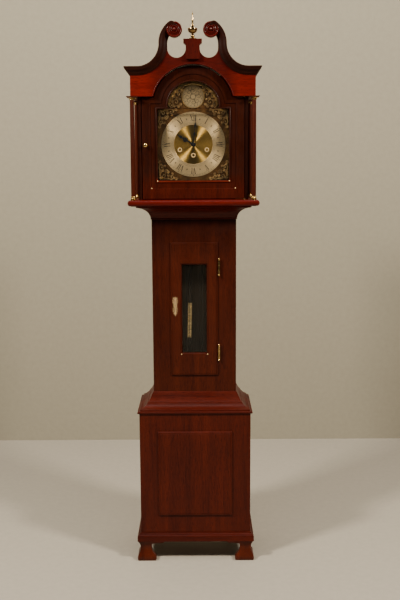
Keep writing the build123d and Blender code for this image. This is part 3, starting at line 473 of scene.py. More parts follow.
# painted highlight: the bead's bottom run is several times brighter red than the rest
bead_x = wood("glazing_bead_mahogany_painted_highlight", *DARK, "x", painted_light=("Z", 1.507, 1.516, (4.5, 2.6, 2.2)))
inner_z = plain_wood("inner_boards", (0.110, 0.068, 0.038), (0.220, 0.145, 0.088))
rod_wood = wood("pendulum_rod_walnut", *WALNUT, "z", 0.3)
bright_brass = brass("polished_brass", 0.16, (0.80, 0.56, 0.22), (0.38, 0.23, 0.08))
plate_brass = brass("movement_brass", 0.28, (0.80, 0.60, 0.28))
cast_brass = brass("cast_brass", 0.34, (0.80, 0.54, 0.23), (0.26, 0.14, 0.05), (0.40, 0.64), 0.85)
lacquered = brass("lacquered_brass", 0.36, (0.92, 0.70, 0.36), (0.72, 0.50, 0.22), (0.45, 0.75), 0.35)
# painted light: the sleeve's brass is paler and brighter than the other brass, to look lit in the shaded trunk
sleeve_brass_painted_light = brass("sleeve_brass_painted_light", 0.25, (0.98, 0.80, 0.44), (0.84, 0.62, 0.28))
antique = brass("antique_brass", 0.17, (0.62, 0.42, 0.17), (0.20, 0.12, 0.045), (0.36, 0.62))
ground_brass = matted_brass("matted_dial_ground")
black_wax = engraving("engraved_black")
cable_steel = steel("tarnished_cable", (0.07, 0.06, 0.05), 0.5, 0.5)
black_steel = steel("blackened_hands", (0.015, 0.015, 0.018), 0.35, 0.4)
bright_steel = steel("bright_steel", (0.62, 0.62, 0.62), 0.3)
clear_glass = pane("clear_glass", 0.10)

# ---- case mouldings
base_low, base_high = node_mm("base_front_frame")
trunk_low, trunk_high = node_mm("trunk_front_frame")
shelf_low, shelf_high = node_mm("hood_base_moulding")
base_half, trunk_half = base_high.x, trunk_high.x
base_front, trunk_front = base_low.y, trunk_low.y
back_y = node_mm("back_board")[1].y
FOOT_TOP, BASE_TOP, HOOD_BOTTOM = base_low.z, base_high.z, node_mm("case_mouldings")[1].z
REST_HIGH = 51.5              # moulding under the hood
LIP_OVER = 7.5                # base lip past the base


def make_case_mouldings():
    """Skirt over the feet, lip and cove over the base, and the cove that carries the hood."""
    bm = bmesh.new()
    skirt = [(0, 0), (13.4, 0), (14, 0.6), (14, 19)] + arc(6.5, 19, 7.5, 0, 78, 8)
    skirt += arc(9.5, 33.5, 6.0, 250, 180, 6) + [(3.5, 35), (0, 35)]
    add_mitred(bm, skirt, base_half, base_front, FOOT_TOP)
    step = base_half - trunk_half
    out = step + LIP_OVER
    lip = [(0, 0)] + arc(out - 5, 5, 5, -90, 90, 12) + [(out - 10, 10), (out - 10.6, 13.4)]
    cove = [(out - 12, 14.8), (out - 18, 17), (37, 21.6), (31, 26.4), (26.6, 31.5), (24, 36.4), (23.4, 37.6),
            (21.2, 38.2), (20.4, 39), (16.6, 45), (13, 51.5), (9.6, 58.5), (6.4, 66), (4, 71.6), (1.4, 76),
            (0, 76)]
    add_mitred(bm, lip + cove, trunk_half, trunk_front, BASE_TOP)
    rest = [(0, 0)] + arc(1.3, 2.6, 2.4, -80, 80, 8)
    rest += [(3.6, 7), (5, 14), (8.6, 22), (14.6, 29.5), (22.6, 36), (32.5, 41.5), (43.5, 45), (step - 5, 45.6)]
    rest += [(step - 5, 46.6), (step - 1, 46.6), (step, 47.4), (step, REST_HIGH), (0, REST_HIGH)]
    add_mitred(bm, rest, trunk_half, trunk_front, HOOD_BOTTOM - REST_HIGH)
    finish_mesh("case_mouldings_run", bm, cove_x, 32, "case", ["case_mouldings"])


OGEE = [(11.5, 81), (9.4, 76), (6.2, 69.5), (3.6, 62), (2.6, 55), (3.2, 47), (5.2, 39), (8.4, 31),
        (11.8, 23.5), (14.0, 16.5), (14.5, 11), (14.3, 6.5), (13.2, 2.6), (11.6, 0)]
BRACKET = [(95, 81), (92.5, 79), (88.5, 75), (86, 72.5), (84, 71.9), (50, 70), (46, 69), (43, 66.5),
           (41.2, 62), (40.5, 56), (40.5, 49), (41.8, 42), (44.4, 36.4), (48, 31.6), (53, 26.2),
           (57.4, 20.6), (59.8, 15.2), (60.5, 9.6), (59.6, 4.2), (57.5, 0)]
REAR_BRACKET, REAR_CURVE_TOP = 57.5, 70
FOOT_LEG = 22.0


def along(points, z):
    """Value of an outline at a height; the points run downwards."""
    for (a, high), (b, low) in zip(points, points[1:]):
        if low <= z <= high:
            return b + (a - b) * (z - low) / max(high - low, 1e-6)
    return points[-1][0]


def make_feet():
    """Ogee bracket feet: each is an L in plan that changes with height."""
    levels = sorted({z for _, z in OGEE + BRACKET} | {k * 3.0 for k in range(28)})
    bm = bmesh.new()
    for side in (-1, 1):
        for rear in (False, True):
            rings = []
            for z in levels:
                out, reach = along(OGEE, z), along(BRACKET, z)
                x0, x1, x2 = base_half + out, base_half - reach, base_half + out - FOOT_LEG
                if rear:
                    y0, y1, y2 = back_y, back_y - reach, back_y - FOOT_LEG
                    short = base_half - REAR_BRACKET
                    x1 = short if z > REAR_CURVE_TOP else max(x1, short)
                else:
                    y0, y1, y2 = base_front - out, base_front + reach, base_front - out + FOOT_LEG
                plan = ((x0, y0), (x1, y0), (x1, y2), (x2, y2), (x2, y1), (x0, y1))
                rings.append([(side * x, y, z) for x, y in plan])
            add_rings(bm, rings)
    finish_mesh("ogee_feet", bm, cove_z, 32, "case", ["bracket_feet"])


SHELF_INSIDE = 16.0           # shelf's inner edge past the trunk


def make_hood_shelf():
    """Rounded shelf round the foot of the hood."""
    bm = bmesh.new()
    inner = trunk_half + SHELF_INSIDE
    wide, high = shelf_high.x - inner, shelf_high.z - shelf_low.z
    nose = [(wide - 9 + 9 * c, high / 2 + (high / 2 - 1.5) * s) for c, s in map(unit, range(-90, 91, 12))]
    profile = [(0, 0), (wide - 12, 0), (wide - 12, 1.5)] + nose
    profile += [(wide - 12, high - 1.5), (wide - 12, high), (0, high)]
    add_mitred(bm, profile, inner, shelf_low.y + wide, shelf_low.z)
    finish_mesh("hood_shelf_run", bm, shelf_x, 32, "hood", ["hood_base_moulding"])


# ---- pediment
tymp_low, tymp_high = node_mm("hood_tympanum")
cornice_low, cornice_high = node_mm("cornice_mouldings")
frieze_half = tymp_high.x
frieze_front = tymp_low.y
CORNICE_OUT = cornice_high.x - frieze_half
CORNICE_HIGH = 31.0
SWAN_R = 80.0
SWAN_X = frieze_half - 27.5
SWAN_Z = cornice_low.z + CORNICE_HIGH + SWAN_R
UPPER_R = SWAN_R + 13.4
UPPER_X = SWAN_X - SWAN_R - UPPER_R
ROSETTE_X, ROSETTE_Z = UPPER_X + 35.9, SWAN_Z + 49.0
NECK_END_R = 16.0
ARCH_R, ARCH_Z = 152.0, tymp_low.z - 38.0


def cornice_profile():
    """(across from the top edge, forwards) points of the cyma and its fillets, closed along the back."""
    cyma = [(0, 0), (0, CORNICE_OUT), (4.5, CORNICE_OUT), (5.0, CORNICE_OUT - 1.2), (7.5, 19.0), (10.5, 17.6)]
    cyma += [(13.5, 15.2), (16, 12.2), (18.5, 9.4), (21.5, 7.2), (24.5, 6.0), (25.5, 5.6)]
    return cyma + [(25.5, 3.6), (28, 3.2), (30.2, 2.2), (31, 0.8), (31, 0)]


def make_swan_neck(side):
    """Cornice that returns along the side, sweeps up to its rosette and ends round a small radius."""
    bm = bmesh.new()
    profile = cornice_profile()
    top = SWAN_Z - SWAN_R
    rings = [[(frieze_half + p, back_y, top - a) for a, p in profile],
             [(frieze_half + p, frieze_front - p, top - a) for a, p in profile]]
    for i in range(1, 4):
        x = frieze_half + (SWAN_X - frieze_half) * i / 4
        rings.append([(x, frieze_front - p, top - a) for a, p in profile])
    for c, s in (unit(270 - 3 * k) for k in range(31)):
        rings.append([(SWAN_X + (SWAN_R + a) * c, frieze_front - p, SWAN_Z + (SWAN_R + a) * s)
                      for a, p in profile])
    turn = math.degrees(math.atan2(ROSETTE_Z - SWAN_Z, ROSETTE_X - UPPER_X))
    for c, s in (unit(turn * k / 18) for k in range(1, 19)):
        rings.append([(UPPER_X + (UPPER_R - a) * c, frieze_front - p, SWAN_Z + (UPPER_R - a) * s)
                      for a, p in profile])
    last = unit(turn)
    end_x, end_z = UPPER_X + (UPPER_R - NECK_END_R) * last[0], SWAN_Z + (UPPER_R - NECK_END_R) * last[1]
    for way in (unit(turn + 8 * k) for k in range(1, 15)):
        ring = []
        for r, p in [(NECK_END_R - a, p) for a, p in profile]:
            c, s = way if r > 0 else last
            ring.append((end_x + r * c, frieze_front - p, end_z + r * s))
        rings.append(ring)
    add_rings(bm, rings)
    bmesh.ops.remove_doubles(bm, verts=bm.verts, dist=1e-6)
    if side < 0:
        bmesh.ops.scale(bm, vec=(-1, 1, 1), verts=bm.verts)
    name = "swan_neck_right" if side > 0 else "swan_neck_left"
    finish_mesh(name, bm, dark_x, 30, "hood", ["cornice_mouldings"])


def make_swan_necks():
    for side in (-1, 1):
        make_swan_neck(side)


def make_rosettes():
    bm = bmesh.new()
    out = frieze_front - node_mm("hood_rosettes")[0].y
    profile = [(0, 0), (28.5, 0), (28.5, 15)] + arc(25.0, 15, 3.5, 0, 130, 7) + [(21.6, 14.6), (20.6, 14.4)]
    profile += [(18.4, 16.4), (17.2, 17.0), (16.2, 16.4), (15.4, 14.8), (14.6, 14.4)]
    profile += arc(11.6, 16.2, 2.6, -20, 170, 7) + [(8.4, 15.0), (7.6, 15.0), (7.2, 19)]
    profile += arc(0.2, 18, 6.4, 10, 90, 6)[:-1] + [(0, min(out, 24.6))]
    for x in (-ROSETTE_X, ROSETTE_X):
        add_lathe(bm, profile, (x, frieze_front, ROSETTE_Z), "y", 56)
    finish_mesh("rosettes_turned", bm, rosette_x, 40, "hood", ["hood_rosettes"])


def make_arch_bead():
    """Thin bead round the arch opening of the tympanum."""
    bm = bmesh.new()
    rings = []
    start = math.degrees(math.asin((tymp_low.z - ARCH_Z) / ARCH_R))
    for x, z in arc(0, ARCH_Z, ARCH_R, start, 180 - start, 60):
        c, s = x / ARCH_R, (z - ARCH_Z) / ARCH_R
        rings.append([(x + c * a, frieze_front - b, z + s * a)
                      for a, b in [(0.3, 0)] + arc(2.3, 0.6, 2.0, 180, 0, 8) + [(4.3, 0)]])
    add_rings(bm, rings)
    finish_mesh("tympanum_cock_bead", bm, hood_x, 60, "hood", ())


def make_finial():
    bm = bmesh.new()
    low, high = node_mm("finial")
    total = high.z - low.z
    foot = [(0, 0), (12, 0), (13, 1), (13, 2.6), (9.5, 4), (6, 5.2)]
    ball = arc(0, 11.0, 7.4, -52, 55, 10)
    cup = [(3.4, 18), (4.8, 19.4), (10, 21.5), (15, 25.5), (17.4, 31), (18, 36.5), (17.6, 37.6), (16.4, 37),
           (15.4, 32), (12.5, 28), (8, 26), (4.2, 27), (3.2, 32), (3.6, 39), (5.2, 40.2), (3.4, 41.6)]
    upper = arc(0, 47.2, 5.4, -60, 62, 12)
    spike = [(2.4, 52.8), (4.0, 54.0), (4.0, 55.0), (2.6, 56.4), (3.2, 61), (3.6, 66), (3.0, 71), (1.8, 76),
             (1.3, 82), (2.4, 83.2), (1.6, 84.6)] + arc(0, 88.4, 3.0, -50, 60, 8)
    point = [(0.8, 92.5), (0.6, total - 1), (0, total)]
    middle = ((low.x + high.x) / 2, (low.y + high.y) / 2, low.z)
    add_lathe(bm, foot + ball + cup + upper + spike + point, middle)
    finish_mesh("finial_turned", bm, antique, 38, "hood", ["finial"])


# ---- columns
CAP_HIGH, ABACUS_HALF = 8.0, 20.0
SQUARE = ((-1, -1), (1, -1), (1, 1), (-1, 1))


def make_columns():
    """Tapered shafts with square abaci, and their brass bases and capitals."""
    low, high = node_mm("hood_columns")
    brass_low, brass_high = node_mm("column_brasses")
    shafts, caps = bmesh.new(), bmesh.new()
    top = brass_high.z
    length = top - CAP_HIGH - low.z
    shaft = [(0, 0)] + [(8.7 - 0.9 * (k / 10) ** 2, length * k / 10) for k in range(11)] + [(0, length)]
    foot = [(0, 0), (11, 0), (11, 3.6)] + arc(8.6, 5.6, 2.4, -50, 80, 6) + [(8.2, 8.6), (8.0, 9.6)]
    foot += arc(8.2, 11.2, 1.6, -60, 90, 5) + [(8.6, 13.5), (0, 13.5)]
    head = [(0, 0), (9.0, 0)] + arc(8.6, 1.5, 1.4, -80, 80, 5)
    head += [(8.5, 3.3), (9.2, 4.2), (11.4, 5.8), (14.8, 7.4), (15.4, CAP_HIGH), (0, CAP_HIGH)]
    abacus = [(17.0, 0), (17.8, 0.8), (18.6, 2.6), (ABACUS_HALF, 3.4), (ABACUS_HALF, 5)]
    for side in (-1, 1):
        x = side * (high.x - ABACUS_HALF)
        for y in (low.y + ABACUS_HALF, high.y - ABACUS_HALF):
            add_lathe(shafts, shaft, (x, y, low.z), sides=32)
            add_lathe(caps, foot, (x, y, brass_low.z), sides=40)
            add_lathe(caps, head, (x, y, top - CAP_HIGH), sides=40)
            add_rings(shafts, [[(x + a * r, y + b * r, top + h) for a, b in SQUARE] for r, h in abacus])
    finish_mesh("column_shafts", shafts, column_z, 40, "hood", ["hood_columns"])
    finish_mesh("column_caps_and_bases", caps, bright_brass, 38, "hood", ["column_brasses"])


# ---- doors and panel
PANEL_INSIDE = 14.0
REBATE = 6.0                  # glass behind the edge of its opening
DOOR_LIP = 10.0
LIP_CLEAR = 0.3               # between the door's lip and the case
HOOD_GLASS_R, SPRING_DROP = 96.0, 4.0


def ring_of(inset, forwards, box_low, box_high, face_y):
    """Rectangle drawn in by an inset, at a distance in front of a face."""
    x0, x1 = box_low.x + inset, box_high.x - inset
    z0, z1 = box_low.z + inset, box_high.z - inset
    y = face_y - forwards
    return [(x0, y, z0), (x1, y, z0), (x1, y, z1), (x0, y, z1)]


def make_base_panel():
    """Panel on the base front with a moulded edge."""
    low, high = node_mm("base_front_panel")
    edge = [(0, 0), (0, 1.5)] + [(x - 0.4, y) for x, y in arc(6.5, 1.8, 5.6, 180, 90, 8)]
    edge += [(7.6, 7.4), (8.6, 6.9), (9.4, 8.0)]
    bm = bmesh.new()
    add_rings(bm, [ring_of(inset, forwards, low, high, base_front) for inset, forwards in edge])
    add_box(bm, (low.x + PANEL_INSIDE, base_front, low.z + PANEL_INSIDE),
            (high.x - PANEL_INSIDE, high.y, high.z - PANEL_INSIDE))
    finish_mesh("base_panel_raised", bm, base_z, 30, "case", ["base_front_panel"])


def make_trunk_door():
    """Lipped door: moulded round the outside and round the window."""
    low, high = node_mm("trunk_door_frame")
    glass_low, glass_high = node_mm("trunk_door_glass")
    face = trunk_front - LIP_CLEAR
    outer = [(0, 0), (0, 1.2)] + [(x - 0.5, y) for x, y in arc(5.4, 1.4, 4.9, 180, 90, 8)]
    outer += [(6.2, 5.9), (6.8, 5.6), (7.4, 7.0)]
    window = [(-7, 7.0), (-6.4, 5.6)] + [(x - 0.3, y) for x, y in arc(-5.6, 0.8, 4.9, 90, 0, 8)]
    window += [(0, face - glass_low.y), (-REBATE, face - glass_low.y), (-REBATE, face - high.y)]
    hole_low = Vector((glass_low.x + REBATE, 0, glass_low.z + REBATE))
    hole_high = Vector((glass_high.x - REBATE, 0, glass_high.z - REBATE))
    rings = [ring_of(inset, forwards, low, high, face) for inset, forwards in outer]
    rings += [ring_of(inset, forwards, hole_low, hole_high, face) for inset, forwards in window]
    rings += [ring_of(DOOR_LIP, face - high.y, low, high, face), ring_of(DOOR_LIP, 0, low, high, face)]
    bm = bmesh.new()
    add_rings(bm, rings, loop=True)
    finish_mesh("trunk_door_moulded", bm, case_z, 30, "trunk_door", ["trunk_door_frame"])


STUD_R = 2.1
STUD = [(0, 0), (STUD_R, 0), (STUD_R, 0.5), (0.87 * STUD_R, 1.2), (0.5 * STUD_R, 1.9), (0, 2.2)]


def add_corner_studs(bm, left, right, z, y):
    """Small brass pins where the mouldings meet at the lower corners."""
    for x in (left, right):
        add_lathe(bm, STUD, (x, y, z), "y", 20)


def make_corner_studs():
    low, high = node_mm("trunk_door_glass")
    bm = bmesh.new()
    add_corner_studs(bm, low.x + 3, high.x - 3, low.z + 1, node_mm("trunk_door_frame")[0].y + 0.9)
    finish_mesh("trunk_door_corner_pins", bm, lacquered, 40, "trunk_door", ())
    low, high = node_mm("hood_door_glass")
    frame_low, frame_high = node_mm("hood_door_frame")
    bm = bmesh.new()
    add_corner_studs(bm, low.x + 5, high.x - 5, low.z + 4.5, frame_low.y + 0.2)
    add_corner_studs(bm, frame_low.x + 33.5, frame_high.x - 33.5, frame_low.z + 39.5, frame_low.y + 2.9)
    finish_mesh("hood_door_corner_pins", bm, lacquered, 40, "hood_door", ())


def make_hood_door_beads():
    """Glazing bead of the hood door."""
    low, high = node_mm("hood_door_glass")
    half, bottom = high.x - REBATE, low.z + REBATE
    arch_z = high.z - REBATE - HOOD_GLASS_R
    spring = arch_z - SPRING_DROP
    start = math.degrees(math.asin(-SPRING_DROP / HOOD_GLASS_R))
    points = [(-half, bottom), (half, bottom), (half, spring)]
    points += arc(0, arch_z, HOOD_GLASS_R, start, 180 - start, 48) + [(-half, spring)]
    bead = [(-6, 0)] + [(3 * c - 3, 2.4 * s - 2.4) for c, s in map(unit, range(150, 0, -30))]
    bead += [(0, -11.6), (-1.5, -11.6), (-6, -6)]
    bm = bmesh.new()
    add_bead(bm, points, bead, node_mm("hood_door_frame")[0].y)
    finish_mesh("hood_door_glazing_bead", bm, bead_x, 40, "hood_door", ())


# ---- dial
dial_low, dial_high = node_mm("dial_plate")
ring_high = node_mm("silvered_ring_and_boss")[1]
DIAL_FACE = dial_low.y
DIAL_HALF = dial_high.x
DIAL_Z = dial_low.z + DIAL_HALF
RING_R, RING_IN, RING_THICK = ring_high.x, 73.0, 1.5
INK = 0.1                     # engraved lines stand this far over the silver
BOSS_R = 41.0
BOSS_Z = ring_high.z - BOSS_R
ARCH_CENTRE = DIAL_Z + DIAL_HALF - 6
DIAL_CENTRE = (0, 0, DIAL_Z * MM)
SIDES = ("left", "centre", "right")
NUMERALS = ("XII", "I", "II", "III", "IIII", "V", "VI", "VII", "VIII", "IX", "X", "XI")


def add_flat(bm, points, y, thick=INK):
    """Thin flat plate over a closed (x, z) outline, its face at y."""
    add_rings(bm, [[(x, y + thick, z) for x, z in points], [(x, y, z) for x, z in points]])


def add_annulus(bm, cx, cz, r0, r1, y, thick, sides=96, chamfer=0.0):
    """Flat ring with eased edges."""
    section = [(r0, y + thick), (r0, y + chamfer), (r0 + chamfer, y), (r1 - chamfer, y), (r1, y + chamfer),
               (r1, y + thick)]
    rings = [[(cx + r * c, depth, cz + r * s) for r, depth in section] for c, s in circle(sides)]
    add_rings(bm, rings, loop=True)


def stroke(x0, z0, x1, z1, width):
    """Four corners of a straight stroke."""
    way = Vector((x1 - x0, z1 - z0)).normalized()
    n = Vector((-way.y, way.x)) * width / 2
    return [(x0 - n.x, z0 - n.y), (x1 - n.x, z1 - n.y), (x1 + n.x, z1 + n.y), (x0 + n.x, z0 + n.y)]


LETTER_HIGH = 23.0
LETTER_WIDE = {"I": 5.0, "V": 11.0, "X": 11.0}
LETTER_GAP = 1.0
LETTER_FOOT = 87.0            # foot of the hour figures from the centre
THICK_STROKE, THIN_STROKE, SERIF = 2.6, 1.0, 0.8


def letter_strokes(letter):
    """Strokes of a Roman figure with serifs, in a box that starts at x 0."""
    w, h = LETTER_WIDE[letter], LETTER_HIGH
    foot, top = SERIF / 2, h - SERIF / 2

    def serif(x0, x1, z):
        return stroke(x0, z, x1, z, SERIF)

    if letter == "I":
        return [stroke(w / 2, 0, w / 2, h, THICK_STROKE), serif(0.2, w - 0.2, foot), serif(0.2, w - 0.2, top)]
    if letter == "V":
        return [stroke(2.4, h, w / 2, 0.4, THICK_STROKE), stroke(w - 1.6, h, w / 2 + 0.4, 0.4, THIN_STROKE),
                serif(0.4, 4.6, top), serif(w - 3.4, w, top)]
    return [stroke(2.0, h, w - 2.0, 0, THICK_STROKE), stroke(w - 2.0, h, 2.0, 0, THIN_STROKE),
            serif(0.3, 4.2, top), serif(w - 3.6, w - 0.3, top),
            serif(0.3, 3.7, foot), serif(w - 4.2, w - 0.3, foot)]


def make_chapter_ring():
    """Silvered ring and boss, with the engraved figures, minute track and half-hour marks."""
    face = DIAL_FACE - RING_THICK
    silver = combed_metal("silvered_ring", DIAL_CENTRE, (0.76, 0.57, 0.31), (0.60, 0.44, 0.23), 0.46, False,
                          0.7, 0.86)
    bm = bmesh.new()
    add_annulus(bm, 0, DIAL_Z, RING_IN, RING_R, face, RING_THICK, 144, 0.5)
    boss = [(0, 0), (BOSS_R, 0), (BOSS_R, 1.6), (BOSS_R - 0.8, 2.4), (0, 2.4)]
    add_lathe(bm, boss, (0, DIAL_FACE, BOSS_Z), "y", 72)
    finish_mesh("silvered_chapter_ring", bm, silver, 30, "case", ["silvered_ring_and_boss"])
    bm = bmesh.new()
    ink = face - 0.12
    for hour, figure in enumerate(NUMERALS):
        x = -(sum(LETTER_WIDE[c] for c in figure) + LETTER_GAP * (len(figure) - 1)) / 2
        c, s = unit(-30 * hour)
        for letter in figure:
            for corners in letter_strokes(letter):
                placed = []
                for px, pz in corners:
                    out = LETTER_FOOT + pz
                    across = (x + px) * out / (LETTER_FOOT + LETTER_HIGH / 2)
                    placed.append((across * c - out * s, DIAL_Z + across * s + out * c))
                add_flat(bm, placed, ink)
            x += LETTER_WIDE[letter] + LETTER_GAP
    for r0, r1 in ((112.6, 113.1), (117.4, 118.0), (77.2, 77.7), (82.0, 82.4)):
        add_annulus(bm, 0, DIAL_Z, r0, r1, ink, INK, 120)
    for minute in range(60):
        on_hour = minute % 5 == 0
        s, c = unit(6 * minute)
        marks = [stroke(c * 112.8, s * 112.8, c * 117.6, s * 117.6, 1.6 if on_hour else 0.6)]
        if on_hour:
            s, c = unit(6 * minute + 15)
            marks.append([(c * 96 - s * 2.2, s * 96 + c * 2.2), (c * 92, s * 92),
                          (c * 96 + s * 2.2, s * 96 - c * 2.2), (c * 100, s * 100)])
        for mark in marks:
            add_flat(bm, [(x, DIAL_Z + z) for x, z in mark], ink)
    finish_mesh("engraved_figures", bm, black_wax, 30, "case", ())


def make_dial_centre():
    """Turned brass centre that throws bright fans of light."""
    fans = combed_metal("sunray_dial_centre", DIAL_CENTRE, (0.85, 0.53, 0.13), (0.62, 0.38, 0.09), 0.31, True,
                        1.0, 0.97)
    bm = bmesh.new()
    add_annulus(bm, 0, DIAL_Z, 8, RING_IN, DIAL_FACE - 0.4, 0.4, 120)
    finish_mesh("dial_centre_disc", bm, fans, 30, "case", ())


SCROLL_HIGH, SCROLL_WIDE = 2.2, 1.55


def spiral(cx, cz, size, start, turns, hand, steps=34):
    """Points of a scroll that winds in towards its eye."""
    points = []
    for t in (i / steps for i in range(steps + 1)):
        r = size * (1 - t) ** 0.85 + size * 0.07
        c, s = unit(start + hand * t * turns * 360)
        points.append((cx + r * c, cz + r * s))
    return points


def add_scroll(bm, points):
    """Raised scroll on the dial, with a button in its eye."""
    count = len(points)
    path = [(x, DIAL_FACE - SCROLL_HIGH * (0.35 + 0.65 * math.sin(math.pi * min(1, 0.15 + i / count))), z)
            for i, (x, z) in enumerate(points)]
    radii = [SCROLL_WIDE * (0.45 + 0.75 * math.sin(math.pi * min(1, (i + 2) / count))) for i in range(count)]
    add_tube(bm, path, radii, 6)
    button = [(SCROLL_WIDE * r, SCROLL_WIDE * h) for r, h in ((0, 0), (1.5, 0), (1.3, 1), (0, 1.6))]
    add_lathe(bm, button, (path[-1][0], DIAL_FACE, path[-1][2]), "y", 8)


# each scroll: place, size, start angle, turns and hand; each leaf the same without turns; in the
# corners the place is counted in from the corner, in the arch from its centre
CORNER_SCROLLS = ((17, 17, 15, 225, 1.25, 1), (47, 10, 11, -20, 1.3, 1), (10, 47, 11, 110, 1.3, -1),
                  (33, 27, 8, 45, 1.2, -1), (27, 33, 8, 45, 1.2, 1), (66, 4.5, 6, 0, 1.2, 1),
                  (4.5, 66, 6, 90, 1.2, -1))
CORNER_LEAVES = ((30, 5, 5, 30, 1), (34, 16, 5.5, 210, -1), (50, 22, 4.5, 90, 1), (6, 6, 5, 225, 1),
                 (24, 3, 3.5, 10, -1), (57, 8, 4, 190, -1))
ARCH_SCROLLS = ((64, 22, 15, 200, 1.4, 1), (52, 52, 10, 240, 1.3, -1), (76, 44, 8, 120, 1.2, 1),
                (80, 10, 9, 90, 1.3, -1), (38, 74, 7, 200, 1.2, 1), (56, 6, 6, 20, 1.2, 1))
ARCH_LEAVES = ((46, 14, 5, 40, -1), (78, 27, 5, 260, 1), (62, 38, 5, 20, -1), (66, 62, 6, 160, 1),
               (50, 33, 4, 120, 1), (84, 32, 4, 60, -1), (44, 66, 5, 300, -1), (71, 8, 4, 180, 1))
LEAF_TURNS, LEAF_STEPS = 1.1, 18


def make_spandrels():
    """Cast scrollwork in the dial's corners and on both sides of the arch."""
    edge = DIAL_HALF - 9
    corner = [spiral(edge - x, edge - z, *rest) for x, z, *rest in CORNER_SCROLLS]
    for x, z, size, start, hand in CORNER_LEAVES:
        corner.append(spiral(edge - x, edge - z, size, start, LEAF_TURNS, hand, LEAF_STEPS))
        corner.append(spiral(edge - z, edge - x, size, 90 - start, LEAF_TURNS, -hand, LEAF_STEPS))
    corner.append([(edge - 2, edge - 12 - 6 * k) for k in range(10)])
    corner.append([(edge - 12 - 6 * k, edge - 2) for k in range(10)])
    corner.append([(edge - 4 - 2.6 * k, edge - 4 - 2.2 * k + 3 * math.sin(k)) for k in range(8)])
    arch = [spiral(*scroll) for scroll in ARCH_SCROLLS]
    for x, z, size, start, hand in ARCH_LEAVES:
        arch.append(spiral(x, z, size, start, LEAF_TURNS, hand, LEAF_STEPS))
    arch.append([(93 * c, 93 * s) for c, s in map(unit, range(6, 74, 6))])
    bm = bmesh.new()
    for local, centre, ups in ((corner, DIAL_Z, (-1, 1)), (arch, ARCH_CENTRE, (1,))):
        for side in (-1, 1):
            for up in ups:
                for points in local:
                    add_scroll(bm, [(side * x, centre + up * z) for x, z in points])
    finish_mesh("cast_spandrels", bm, cast_brass, 50, "case", ())


def make_arch_band():
    """Polished band that follows the dial's arch, and the boss's rim."""
    band = [(r, DIAL_FACE - h) for r, h in ((87, 0), (87, 1.2), (88, 1.8), (100, 1.8), (101, 1.2), (101, 0))]
    bm = bmesh.new()
    add_rings(bm, [[(c * r, y, ARCH_CENTRE + s * r) for r, y in band] for c, s in arc(0, 0, 1, 8, 172, 60)])
    add_annulus(bm, 0, BOSS_Z, BOSS_R, BOSS_R + 3, DIAL_FACE - 2.2, 2.2, 72, 0.6)
    finish = brass("band_brass", 0.3, (0.72, 0.47, 0.16), (0.4, 0.24, 0.08))
    finish_mesh("dial_arch_band", bm, finish, 30, "case", ())


def make_boss_engraving():
    """Generic scrolled leaves cut into the boss."""
    y = DIAL_FACE - 2.5
    cuts = []
    for k in range(8):
        c, s = unit(45 * k)
        points = spiral(20 * c, 20 * s, 10.5, 45 * k + 180, 1.1, 1 if k % 2 else -1, 22)
        cuts += [stroke(*a, *b, 1.5) for a, b in zip(points, points[1:])]
    for c, s in (unit(22.5 * k + 11) for k in range(16)):
        for r0, r1, lean in ((8, 13, 3), (30, 35, -2.5)):
            cuts.append(stroke(c * r0, s * r0, c * r1 - s * lean, s * r1 + c * lean, 1.7))
    bm = bmesh.new()
    for cut in cuts:
        add_flat(bm, [(x, BOSS_Z + z) for x, z in cut], y)
    for r in (36.0, 38.4):
        add_annulus(bm, 0, BOSS_Z, r, r + 0.5, y, INK, 72)
    finish_mesh("boss_engraving", bm, black_wax, 30, "case", ())


def make_collets():
    """Turned rings round the winding holes."""
    section = [(5.0, 0), (5.0, -0.8), (6.2, -2.0), (7.4, -2.0), (8.5, -1.0), (8.5, 0)]
    bm = bmesh.new()
    for side in SIDES:
        low, high = node_mm("winding_barrel_" + side)
        x, z = (low.x + high.x) / 2, (low.z + high.z) / 2
        add_rings(bm, [[(x + r * c, DIAL_FACE + h, z + r * s) for r, h in section] for c, s in circle(40)],
                  loop=True)
    finish_mesh("winding_collets_turned", bm, lacquered, 30, "case", ["dial_brassware"])


# ---- hands
HAND_THICK = 1.2
MINUTE_ANGLE, HOUR_ANGLE = 6, 300.5     # clockwise from twelve


def add_hand(bm, outline, y, angle):
    """Flat hand: a half outline of (half width, distance) mirrored and turned clockwise."""
    points = outline + [(-w, d) for w, d in reversed(outline) if w > 0]
    c, s = unit(-angle)
    add_flat(bm, [(x * c - z * s, DIAL_Z + x * s + z * c) for x, z in points], y, HAND_THICK)


